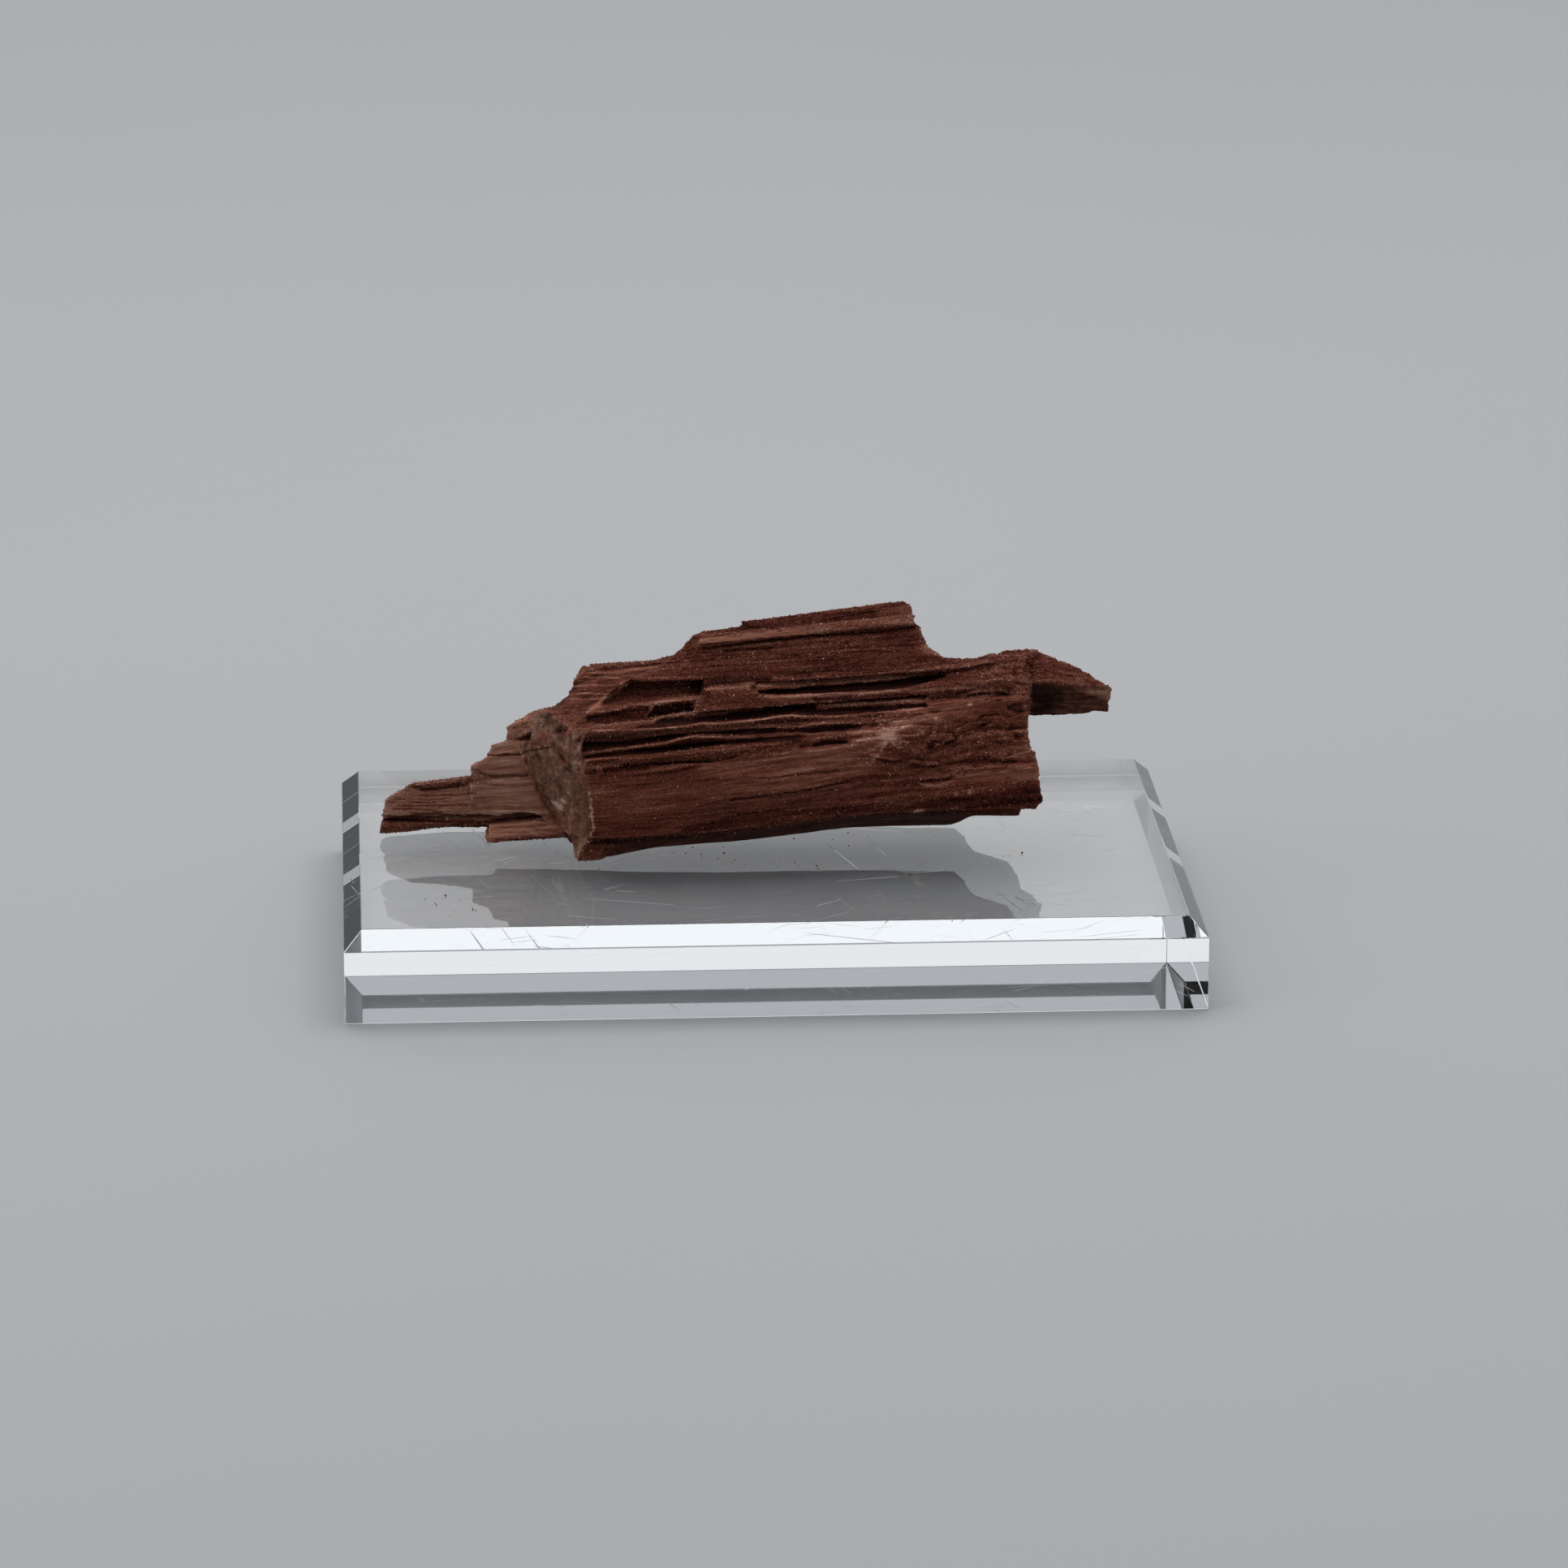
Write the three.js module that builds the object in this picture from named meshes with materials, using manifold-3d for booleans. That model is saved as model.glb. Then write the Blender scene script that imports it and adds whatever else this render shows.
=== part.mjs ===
// A weathered piece of petrified wood resting on a bevelled clear acrylic display block.
//
// Millimetres, +Z up, +X along the block's long side, origin at the centre of the block's
// underside. The wood is one solid: grain-aligned layers are lofted between four rails each,
// joined, and then cut by the fracture of its left end and by the open cracks between layers.

import * as THREE from 'three';
import Module from 'manifold-3d';
import { mergeVertices } from 'three/addons/utils/BufferGeometryUtils.js';

// ---------------------------------------------------------------- driving dimensions

const BLOCK_LENGTH = 236;
const BLOCK_DEPTH = 165;
const BLOCK_HEIGHT = 25.4;
const BLOCK_BEVEL = 4.9;
const REST_GAP = 0.3;            // air between the wood and the block's top face

const STATION_STEP = 9;          // spacing of the lofted sections along the grain
const RIB_HEIGHT = 3.6;          // width of one rib of grain on an open face
const RIB_RELIEF = 0.4;          // how far ribs stand in and out
const RIB_WAVE = 17;             // length along the grain over which a rib changes
const EDGE_RELIEF = 0.35;        // raggedness of a layer's own edges
const END_RELIEF = 0.9;          // raggedness of a layer's broken ends
const ALL_SIDES = [1, 1, 1, 1];  // the front, top, back and bottom of a layer all show ribs

const RIB_SEEDS_PER_SIDE = 20;   // keeps the seeds of one side's ribs apart from the next side's
const RIB_SEED = 9;              // seed of a rib's own height
const START_SEED = 31;           // seed of a layer's end towards -X
const FINISH_SEED = 32;          // seed of a layer's end towards +X

const WOOD_COLOUR = 0x40251e;
const ACRYLIC_COLOUR = 0xe4ebef;

// ---------------------------------------------------------------- seeded variation

/** A repeatable number from -1 to 1 for three whole numbers. */
function scatter(a, b, c) {
  const wave = Math.sin(a * 127.1 + b * 311.7 + c * 74.7) * 43758.5453;
  return 2 * (wave - Math.floor(wave)) - 1;
}

/** Smooth variation from -1 to 1 along a line, for one rib of one layer. */
function drift(seed, rib, along) {
  const cell = Math.floor(along);
  const within = THREE.MathUtils.smoothstep(along - cell, 0, 1);
  return THREE.MathUtils.lerp(scatter(seed, rib, cell), scatter(seed, rib, cell + 1), within);
}

// ---------------------------------------------------------------- lofting between rails

function closedGeometry(positions, indices) {
  const geometry = new THREE.BufferGeometry();
  geometry.setAttribute('position', new THREE.Float32BufferAttribute(positions, 3));
  geometry.setIndex(indices);
  return geometry;
}

/** The point at a share of a rail's length along X; a rail is a list of [x, y, z]. */
function pointOnRail(rail, share) {
  const x = THREE.MathUtils.lerp(rail[0][0], rail[rail.length - 1][0], share);
  let leg = 1;
  while (leg < rail.length - 1 && x > rail[leg][0]) {
    leg += 1;
  }
  const from = new THREE.Vector3(...rail[leg - 1]);
  const to = new THREE.Vector3(...rail[leg]);
  return from.clone().lerp(to, (x - from.x) / (to.x - from.x));
}

/** How many ribs of grain each of the four sides of a layer carries. */
function ribCounts(layer) {
  const middle = layer.rails.map((rail) => pointOnRail(rail, 0.5));
  return middle.map((corner, side) => {
    const width = corner.distanceTo(middle[(side + 1) % middle.length]);
    const hasRibs = (layer.ribbed ?? ALL_SIDES)[side];
    return hasRibs ? Math.max(1, Math.round(width / RIB_HEIGHT)) : 1;
  });
}

/** How far one rib, or the edge where two sides meet, stands out of a layer at a given X. */
function reliefAt(layer, rib, seed, x) {
  const wave = drift(layer.seed, seed, x / RIB_WAVE);
  const isEdge = rib === 0;
  const height = isEdge ? EDGE_RELIEF * wave : RIB_RELIEF * (wave + scatter(layer.seed, seed, RIB_SEED));
  return height * (layer.relief ?? 1);
}

/** One ring of a layer: its four corners, with ribs of grain between them. */
function ringOf(layer, counts, share, endSeed) {
  const corners = layer.rails.map((rail) => pointOnRail(rail, share));
  const points = [];
  corners.forEach((corner, side) => {
    const next = corners[(side + 1) % corners.length];
    const outward = new THREE.Vector3(0, corner.z - next.z, next.y - corner.y).normalize();
    for (let rib = 0; rib < counts[side]; rib += 1) {
      const seed = side * RIB_SEEDS_PER_SIDE + rib;
      const point = corner.clone().lerp(next, rib / counts[side]);
      point.addScaledVector(outward, reliefAt(layer, rib, seed, point.x));
      point.x += endSeed ? END_RELIEF * scatter(layer.seed, seed, endSeed) : 0;
      points.push(point);
    }
  });
  return points;
}

/**
 * A closed layer of wood lofted between its rails, given in the order front bottom, front
 * top, back top, back bottom. Rails that start or end at different X make a slanting end.
 */
function layerGeometry(layer) {
  const counts = ribCounts(layer);
  const lengths = layer.rails.map((rail) => rail[rail.length - 1][0] - rail[0][0]);
  const spans = Math.max(1, Math.ceil(Math.max(...lengths) / STATION_STEP));
  const rings = [];
  for (let i = 0; i <= spans; i += 1) {
    const endSeed = { 0: START_SEED, [spans]: FINISH_SEED }[i] ?? 0;
    rings.push(ringOf(layer, counts, i / spans, endSeed));
  }
  const around = rings[0].length;
  const positions = rings.flatMap((points) => points.flatMap((point) => point.toArray()));
  const indices = [];
  for (let i = 0; i < spans; i += 1) {
    for (let j = 0; j < around; j += 1) {
      const a = i * around + j;
      const b = i * around + ((j + 1) % around);
      indices.push(a, a + around, b, b, a + around, b + around);
    }
  }
  [0, spans].forEach((i) => {
    const centre = new THREE.Vector3();
    rings[i].forEach((point) => centre.addScaledVector(point, 1 / around));
    const hub = positions.length / 3;
    positions.push(...centre.toArray());
    for (let j = 0; j < around; j += 1) {
      const a = i * around + j;
      const b = i * around + ((j + 1) % around);
      indices.push(hub, ...(i === 0 ? [a, b] : [b, a]));
    }
  });
  return closedGeometry(positions, indices);
}

// ---------------------------------------------------------------- solids

const manifold = await Module();
manifold.setup();

function toSolid(geometry) {
  return new manifold.Manifold(new manifold.Mesh({
    numProp: 3,
    vertProperties: new Float32Array(geometry.attributes.position.array),
    triVerts: new Uint32Array(geometry.index.array),
  }));
}

function toGeometry(solid) {
  const mesh = solid.getMesh();
  const geometry = closedGeometry(Array.from(mesh.vertProperties), Array.from(mesh.triVerts));
  geometry.computeVertexNormals();
  return geometry;
}

function joinLayers(layers) {
  return layers
    .map((layer) => toSolid(layerGeometry(layer)))
    .reduce((whole, solid) => whole.add(solid));
}

function cutLayers(solid, layers) {
  return layers.reduce((rest, layer) => rest.subtract(toSolid(layerGeometry(layer))), solid);
}

// ---------------------------------------------------------------- the wood's layers
// Every height here is above the display block's top face. A layer's `ribbed` list says which
// of its sides, front, top, back and bottom, show ribs of grain; the others lie inside the wood.

/** The heart of the log, hidden behind the layers that weathered out of it. */
const HEART = [
  {
    seed: 1,
    ribbed: [0, 0, 0, 0],
    rails: [
      [[-66, -12, 3], [0, -10, 9], [70, -8, 14]],
      [[-66, -8, 29], [-40, -8, 34], [30, -6, 35], [71, -4, 37]],
      [[-70, 22, 25], [0, 25, 36], [69, 23, 39]],
      [[-70, 20, 5], [0, 22, 5], [60, 18, 14]],
    ],
  },
  {
    seed: 2,
    ribbed: [0, 0, 0, 1],
    rails: [
      [[-54, -4, 28], [0, -4, 33], [60, -2, 35]],
      [[-47, 13, 46], [-22, 13, 49], [-8, 11, 54], [40, 11, 58]],
      [[-45, 23, 43], [-16, 23, 50], [38, 20, 57]],
      [[-56, 25, 30], [0, 26, 34], [60, 24, 36]],
    ],
  },
];

/** The front slab, the underside below it and the thin ledges stacked on it. */
const FRONT = [
  { // underside: a smooth face that runs down and back to the line the wood rests on
    seed: 3,
    ribbed: [1, 0, 0, 1],
    relief: 0.5,
    rails: [
      [
        [-50, -17.5, 0.4], [-45, -16, 0.2], [-32, -7, 0.3], [-9, -2.5, 0.3],
        [5, 3, 0.2], [24, 10, 0.2], [54, 10, 0.4],
      ],
      [[-50, -19.5, 8], [-21, -18.5, 8.5], [4, -17, 10.5], [36, -14, 13], [70, -12, 13.5]],
      [[-64, 20, 12], [0, 23, 14], [66, 19, 17]],
      [[-57, 16, 1], [-20, 19, 1.5], [30, 19, 1.5], [56, 15, 1]],
    ],
  },
  { // slab: the broad, fairly smooth front face
    seed: 4,
    ribbed: [1, 1, 0, 0],
    rails: [
      [
        [-58, -21.4, 6.6], [-32, -20, 7.4], [-10, -19, 8.4], [22, -16.3, 11.2],
        [40, -15, 12], [77.4, -17, 12.7],
      ],
      [
        [-58, -17.6, 24], [-32, -16.2, 25.6], [-8, -15, 28.4], [13, -14, 30.8],
        [27, -12.5, 31], [40, -13, 27], [54, -13.3, 23.6], [77.4, -15.3, 25],
      ],
      [[-70, 9, 24], [20, 8, 31], [40, 6, 27], [71.5, 4, 26]],
      [[-70, 9, 10], [72.5, 4, 15]],
    ],
  },
  { // foot: the lump at the front left corner
    seed: 5,
    rails: [
      [[-55, -19, 0.1], [-45.5, -19.5, 0.7]],
      [[-54, -20.5, 9], [-44, -20.5, 8]],
      [[-56, -8, 9], [-44, -10, 9]],
      [[-55, -11, 0.3], [-45, -14, 0.4]],
    ],
  },
  { // lower right ledge, tucked under the slab's far end
    seed: 6,
    rails: [
      [[42, -10, 13], [58, -10.2, 9], [72.5, -10.6, 8.9]],
      [[42, -12, 15], [73, -13.5, 13.8]],
      [[42, 14, 16], [71, 12, 16]],
      [[42, 13, 8], [57, 12, 6], [70, 8, 9.5]],
    ],
  },
  { // lip between the slab and the ledges above it
    seed: 7,
    ribbed: [1, 1, 0, 0],
    rails: [
      [[-62, -15.5, 23.2], [-41, -15, 24.8], [-28, -14.5, 26.6], [0, -13.4, 29.4], [30, -9, 31.6]],
      [[-62, -16.8, 28], [-40, -15.7, 28.8], [-28, -15.2, 29.6], [0, -14, 31.8], [30, -9.6, 34.2]],
      [[-68, 6, 30], [30, 4, 35]],
      [[-68, 6, 22], [30, 4, 28]],
    ],
  },
  { // second ledge
    seed: 8,
    ribbed: [1, 1, 0, 0],
    rails: [
      [[-62, -14.6, 28.6], [-20, -12, 32.2], [0, -11, 32.8], [40, -6, 35]],
      [
        [-62, -16.4, 30.4], [-41, -15, 32.2], [-28, -14, 33.3], [-19, -13, 34.7],
        [-2, -12, 34.9], [13, -11, 35.6], [40, -6.4, 37.4],
      ],
      [[-68, 7, 34], [40, 6, 39]],
      [[-68, 7, 28], [40, 6, 31]],
    ],
  },
  { // third ledge: a thin bright edge over an undercut face
    seed: 9,
    ribbed: [1, 1, 0, 0],
    rails: [
      [[-62, -11.4, 32.2], [-18, -9.4, 34.2], [10, -6.6, 35.6], [52, -2.6, 38]],
      [
        [-62, -13.6, 35.8], [-32, -12.2, 36.7], [-18, -11, 37.5], [0, -9.2, 38.2],
        [11, -8, 39.2], [27, -7.2, 38.7], [52, -4, 41.4],
      ],
      [[-66, 8, 37], [52, 8, 42]],
      [[-66, 8, 31], [52, 8, 34]],
    ],
  },
];

/** The stepped middle of the face, where layers broke away and left overhangs. */
const MIDDLE = [
  { // floor of the hollow at the left
    seed: 10,
    ribbed: [1, 1, 0, 0],
    rails: [
      [[-54, -6.5, 35.6], [-18, -5, 37]],
      [[-50, -3.6, 40.4], [-33, -2.8, 41.2], [-18, -2.4, 42.4]],
      [[-50, 10, 41.4], [-16, 10, 43]],
      [[-52, 10, 34], [-16, 10, 36]],
    ],
  },
  { // broken plate in the middle
    seed: 11,
    ribbed: [1, 1, 0, 0],
    rails: [
      [[-20.5, -7.2, 39.4], [-9, -6.2, 39.8], [0, -5.4, 40.4], [15, -4.6, 41.3]],
      [[-15.4, -3.2, 46.3], [-5, -2.6, 46.6], [6, -2.6, 45.4], [15, -3.4, 43.9]],
      [[-15.4, 8, 48], [14, 8, 47]],
      [[-19, 8, 37], [14, 8, 38]],
    ],
  },
  { // low ridge right of the broken plate
    seed: 12,
    ribbed: [1, 1, 0, 0],
    rails: [
      [[13, -3.8, 39.6], [37, -3, 40], [66, 1, 41]],
      [[13, -5.2, 41.7], [37, -4.8, 42.5], [52, -3.8, 43], [66, 0, 43.6]],
      [[12, 8, 43], [66, 8, 45]],
      [[12, 8, 38], [66, 8, 39]],
    ],
  },
  { // middle ridge
    seed: 13,
    ribbed: [1, 1, 0, 0],
    rails: [
      [[-3, -2.6, 43], [14, -2.4, 41.3], [32, -2.2, 41.7], [60, -0.8, 42.6], [70, 0.8, 43.5]],
      [[-4, -4, 45], [14, -3.8, 44], [32, -3.2, 44.7], [50, -2, 45.2], [70, -0.5, 46.4]],
      [[-4, 10, 46], [72, 10, 48]],
      [[-4, 10, 41], [70, 10, 41]],
    ],
  },
  { // upper ridge, overhanging the deepest crack
    seed: 14,
    ribbed: [1, 1, 0, 0],
    rails: [
      [[-15, -0.8, 44.8], [0, 0.2, 45.8], [32, 2, 46.4], [64, 5.4, 47.6]],
      [
        [-16, -2.6, 46.6], [0, -1.6, 47.6], [14, -0.8, 47.4], [32, 0.6, 48.2],
        [51, 2.8, 48.9], [66, 5, 49.5],
      ],
      [[-16, 12, 50], [46, 15, 50.2], [54, 16, 47.4], [66, 16, 48.2]],
      [[-16, 12, 43], [66, 14, 44]],
    ],
  },
];

/** The raised upper part with its long bar and its steep right end. */
const UPPER = [
  { // light striped shoulder at the left
    seed: 15,
    ribbed: [1, 1, 1, 1],
    rails: [
      [[-59, 2, 34], [-50, -5, 38.2]],
      [[-49.5, 11, 48.8], [-38, 2.6, 46.4]],
      [[-46, 22, 44.5], [-30, 20, 46]],
      [[-58, 23, 33], [-40, 22, 34]],
    ],
  },
  { // top face of the left shoulder
    seed: 16,
    ribbed: [1, 1, 1, 1],
    rails: [
      [[-47, 7.5, 46.4], [-38, 3, 46.2], [-16, 2, 46.6]],
      [[-47, 11.4, 49.2], [-36, 11.4, 49.7], [-20, 10.4, 50.4]],
      [[-44, 24.5, 44], [-16, 24, 46]],
      [[-47, 26, 38], [-16, 26, 40]],
    ],
  },
  { // sugary lower face of the raised part
    seed: 17,
    ribbed: [1, 1, 0, 1],
    rails: [
      [[-38, 2.4, 46.6], [-16, 1.4, 47], [0, 1.8, 48.4], [30, 3.4, 49.2], [53, 7, 49.2]],
      [[-25, 8.8, 50.8], [-10, 6.6, 53.2], [10, 6, 54.6], [30, 7, 55.6], [46, 9, 54.6]],
      [[-22, 24, 47], [44, 22, 54]],
      [[-26, 26, 40], [50, 25, 43]],
    ],
  },
  { // raised part's crest
    seed: 18,
    ribbed: [1, 1, 1, 1],
    rails: [
      [[-26, 9, 50.4], [-10, 7.2, 54], [10, 6.6, 55.2], [30, 7.6, 56.2], [46.6, 9.4, 55]],
      [
        [-18.8, 11.2, 57.4], [-15.6, 11.4, 58.3], [-7.4, 11.8, 58.5], [0, 12, 60], [15, 12.2, 61.8],
        [33, 12.8, 64], [43.5, 13.4, 64.6],
      ],
      [[-13, 23, 53], [10, 24, 56.6], [40, 22, 60.6]],
      [[-18, 26, 46], [45, 25, 48]],
    ],
  },
  { // crest's last sliver, highest of all
    seed: 19,
    rails: [
      [[-5.5, 11.2, 57], [43, 11.8, 61.8]],
      [[-5, 12.8, 60.3], [15, 13, 62.4], [33, 13.4, 64.6], [42, 13.8, 65.5]],
      [[-3, 19, 57.8], [40, 19, 63.2]],
      [[-3, 19, 54], [42, 19, 58]],
    ],
  },
  { // long smooth bar
    seed: 20,
    ribbed: [1, 1, 0, 0],
    relief: 0.4,
    rails: [
      [[-17, 5.4, 55.9], [14, 6.4, 58.3], [44, 8, 60.4]],
      [[-17, 7, 58], [14, 8, 60.3], [44, 9.6, 62.6]],
      [[-16, 16, 56.8], [-7, 16, 57.4], [43, 16, 62.2]],
      [[-16, 14, 54], [43, 14, 58]],
    ],
  },
  { // pale chip on the steep right end
    seed: 21,
    rails: [
      [[45, 9.4, 47.5], [52.4, 10.2, 48]],
      [[44, 10.6, 54.6], [50.4, 11.4, 50.4]],
      [[43, 16, 54], [50, 16, 49]],
      [[44, 16, 46], [52, 15, 46.5]],
    ],
  },
];

/** The crumbly right end, the plate over it and the tongue that reaches past it. */
const RIGHT = [
  {
    seed: 22,
    ribbed: [1, 1, 0, 0],
    relief: 1.5,
    rails: [
      [[28, -12, 24], [50, -11.4, 21], [76.5, -13, 22]],
      [[28, -11.4, 33.6], [45, -10.8, 32.8], [60, -9.4, 33], [74.5, -8.4, 33.6]],
      [[28, 8, 34], [73, 6, 35]],
      [[28, 8, 20], [73, 6, 20]],
    ],
  },
  {
    seed: 23,
    ribbed: [1, 1, 0, 0],
    relief: 1.6,
    rails: [
      [[30, -10.6, 33], [46, -9.8, 32.2], [60, -8.4, 32.6], [74, -7.4, 33]],
      [[32, -9, 36.6], [46, -6.4, 40.2], [60, -5, 41.6], [75.5, -4.2, 41.8]],
      [[32, 8, 40], [75, 9, 42]],
      [[30, 8, 30], [73, 8, 30]],
    ],
  },
  { // knot: a low boss where a branch left the stem
    seed: 24,
    rails: [
      [[22, -10.5, 29.6], [29, -13.6, 28], [36, -14.4, 26.6], [43, -12.8, 27.6], [50, -9.6, 29.6]],
      [[22, -10, 32], [29, -12.4, 34.4], [36, -12, 36], [43, -10.4, 36], [50, -7, 34]],
      [[22, -2, 33], [50, -2, 34]],
      [[22, -2, 29], [50, -2, 29]],
    ],
  },
  { // plate between the ridges and the tongue
    seed: 25,
    ribbed: [1, 1, 1, 0],
    relief: 1.4,
    rails: [
      [[52, -2, 42], [64, -1.4, 42.4], [75.5, 1, 41.4]],
      [[50, 7, 48.4], [62, 8.4, 48.2], [74, 12, 46.8]],
      [[44, 24, 44], [62, 24, 45.8], [70, 24, 47.8], [80, 25.6, 47.6]],
      [[44, 25, 36], [76, 24, 35]],
    ],
  },
  { // shelf that carries the tongue
    seed: 26,
    relief: 1.2,
    rails: [
      [[42, 2, 33], [60, 4, 33], [76, 8, 32.6]],
      [[42, 2, 43], [60, 0, 42], [75.6, 2.6, 42]],
      [[42, 24, 42], [77, 22, 43]],
      [[42, 24, 31], [75, 20, 33]],
    ],
  },
  { // tongue
    seed: 27,
    relief: 0.9,
    rails: [
      [[66, 11.6, 31.6], [86, 12, 31.8], [99.4, 12.6, 32.3]],
      [[66, 11.6, 42], [84, 12, 41.6], [93, 12.2, 40.5], [99.7, 12.8, 39.4]],
      [[66, 26.4, 45.2], [76, 26.4, 48], [85, 25.2, 45.6], [94, 22.6, 41.6], [99.8, 17, 38.6]],
      [[66, 25, 34], [90, 22, 34.4], [99, 17, 34]],
    ],
  },
];

/** The layers behind the fractured end that step down to the left tongue. */
const LEFT = [
  { // low ledge in front of the tongue's root
    seed: 28,
    relief: 0.7,
    rails: [
      [[-77.2, -1.2, 0.6], [-66, -1.8, 1.6], [-50, -2.4, 2.6]],
      [[-77, 0, 3], [-66, -0.8, 4], [-50, -1.4, 5.2]],
      [[-76.4, 11, 6], [-50, 11, 8]],
      [[-76.6, 12, 0.6], [-50, 12, 1]],
    ],
  },
  { // smooth second layer
    seed: 29,
    ribbed: [1, 1, 0, 1],
    relief: 0.6,
    rails: [
      [[-82, 10.6, 5], [-60, 9.6, 6.2], [-44, 9, 8]],
      [[-81, 11, 20], [-76.4, 12, 22.9], [-62, 12.4, 24.4], [-44, 11, 27]],
      [[-80, 23, 17.4], [-44, 25, 24]],
      [[-80, 21.5, 4], [-44, 24, 6]],
    ],
  },
  {
    seed: 30,
    ribbed: [1, 1, 0, 1],
    rails: [
      [[-76.4, 13.2, 20.4], [-60, 13, 22], [-44, 11, 24]],
      [[-76, 13, 25.8], [-72.4, 13.6, 27], [-62, 13.4, 29], [-44, 10.4, 33]],
      [[-74, 24, 22.4], [-44, 26, 30]],
      [[-75, 23, 16], [-44, 25.4, 22]],
    ],
  },
  {
    seed: 31,
    ribbed: [1, 1, 1, 1],
    rails: [
      [[-71.4, 14.4, 25.6], [-67.4, 12, 27.4], [-60.4, 5.6, 33.4], [-48, 0, 36.6]],
      [[-71, 15, 30.2], [-67.4, 15.4, 32.2], [-63.6, 15.6, 34.4], [-57, 9.6, 36.8], [-48, 2, 39.4]],
      [[-69, 25, 27], [-62, 25.4, 31.4], [-46, 26, 36]],
      [[-70, 25, 20], [-46, 26.6, 28]],
    ],
  },
  { // left tongue
    seed: 32,
    relief: 0.9,
    rails: [
      [[-107.4, 10.2, 5.4], [-90, 10.6, 5], [-70, 10.4, 5]],
      [[-105.6, 11, 10.6], [-100.6, 12.6, 14.2], [-91, 13, 15.1], [-82, 13, 16.4], [-70, 12.6, 18]],
      [[-104.6, 20, 7.6], [-98, 22, 11.2], [-70, 23, 14]],
      [[-105.6, 20, 4], [-70, 21, 3]],
    ],
  },
  { // sparkling ledge under the tongue
    seed: 33,
    relief: 0.8,
    rails: [
      [[-107, 7, 1.6], [-103, 7.4, 1.3], [-98, 8.6, 2], [-90, 10.4, 2.5], [-76, 12, 1.8]],
      [[-106.8, 8.2, 4.9], [-90, 8, 4.4], [-70, 8.4, 4]],
      [[-106, 20, 5], [-70, 20, 5]],
      [[-106, 18, 2], [-90, 18, 1], [-70, 19, 1]],
    ],
  },
];

/** Ledges of the back, which step out and in with height. */
const BACK_LEDGES = [
  { low: 4, high: 12, reach: 25, from: -74, to: 58 },
  { low: 10, high: 19, reach: 27.4, from: -66, to: 69 },
  { low: 17, high: 26, reach: 26, from: -68, to: 73 },
  { low: 24, high: 31, reach: 28.4, from: -58, to: 66 },
  { low: 29, high: 38, reach: 27, from: -54, to: 71 },
  { low: 36, high: 42.6, reach: 28, from: -44, to: 58 },
  { low: 41, high: 49, reach: 26.6, from: -22, to: 48 },
  { low: 46, high: 54, reach: 25.4, from: -12, to: 43 },
];
const GRAIN_RISE = 0.045;        // the grain climbs this much per millimetre towards +X
const BACK_THICKNESS = 12;       // a back ledge's depth into the wood
const BACK_BOW = 1.2;            // how far a back ledge bows out at mid length
const BACK_SEED = 40;            // seed of the first back ledge
const BOW_SEED = 3;              // seed of a back ledge's bow
const START_SETBACK = 1.5;       // a back ledge's rails draw in this much at their ends
const FINISH_SETBACK = 2.5;
const BACK_TOP_SETBACK = 0.8;    // a back ledge's upper edge stands in from its lower one

/** One ledge of the back as a layer. */
function backLayer(ledge, index) {
  const inner = ledge.reach - BACK_THICKNESS;
  const seed = BACK_SEED + index;
  const rail = (y, z, startShift, endShift) => {
    const start = ledge.from + startShift;
    const end = ledge.to + endShift;
    const middle = (start + end) / 2;
    const bow = BACK_BOW * scatter(seed, BOW_SEED, Math.round(z));
    return [
      [start, y - START_SETBACK, z + GRAIN_RISE * start],
      [middle, y + bow, z + GRAIN_RISE * middle],
      [end, y - FINISH_SETBACK, z + GRAIN_RISE * end],
    ];
  };
  return {
    seed,
    ribbed: [0, 0, 1, 0],
    rails: [
      rail(inner, ledge.low, -2, 1),
      rail(inner, ledge.high, 2, -1),
      rail(ledge.reach - BACK_TOP_SETBACK, ledge.high, 4, -3),
      rail(ledge.reach, ledge.low, 0, -4),
    ],
  };
}

/** Open cracks between layers; each is a thin wedge that closes inwards. */
const CRACKS = [
  { // between the third ledge and the broken plate
    seed: 61,
    rails: [
      [[-33, -16, 36.2], [-18, -15, 36.6], [10, -12, 38.6], [30, -11, 38.6], [50, -9, 41]],
      [[-33, -16, 38], [-18, -15, 39.4], [10, -12, 41], [30, -11, 41.6], [50, -9, 42]],
      [[-30, -3.6, 39.6], [-14, -1, 40.6], [44, 2, 43]],
      [[-30, -3.6, 38.2], [-14, -1, 38.8], [44, 2, 41.2]],
    ],
  },
  { // deepest crack, under the upper ridge
    seed: 62,
    rails: [
      [[-5, -8, 44.8], [14, -8, 43.8], [32, -7, 44.4], [56, -6, 45.2]],
      [[-5, -8, 45.8], [14, -8, 46.4], [32, -7, 46.6], [56, -6, 46.8]],
      [[-2, 2, 46.8], [50, 6, 48.6]],
      [[-2, 2, 45.8], [50, 6, 46.6]],
    ],
  },
  { // between the tongue and the sparkling ledge under it
    seed: 63,
    rails: [
      [[-112, 4, 3], [-80, 4, 2.6], [-60, 4, 4.4]],
      [[-112, 4, 4.6], [-80, 4, 4.2], [-60, 4, 5.2]],
      [[-110, 15, 6.6], [-80, 15, 6.4], [-62, 13, 6.8]],
      [[-110, 15, 5.4], [-80, 15, 5.2], [-62, 13, 6.2]],
    ],
  },
  { // on the back
    seed: 64,
    rails: [
      [[-50, 20, 23.4], [30, 20, 27.4]],
      [[-50, 20, 24.4], [30, 20, 28.4]],
      [[-52, 33, 25], [34, 33, 29]],
      [[-52, 33, 23], [34, 33, 27]],
    ],
  },
];

// ---------------------------------------------------------------- the fractured left end

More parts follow.
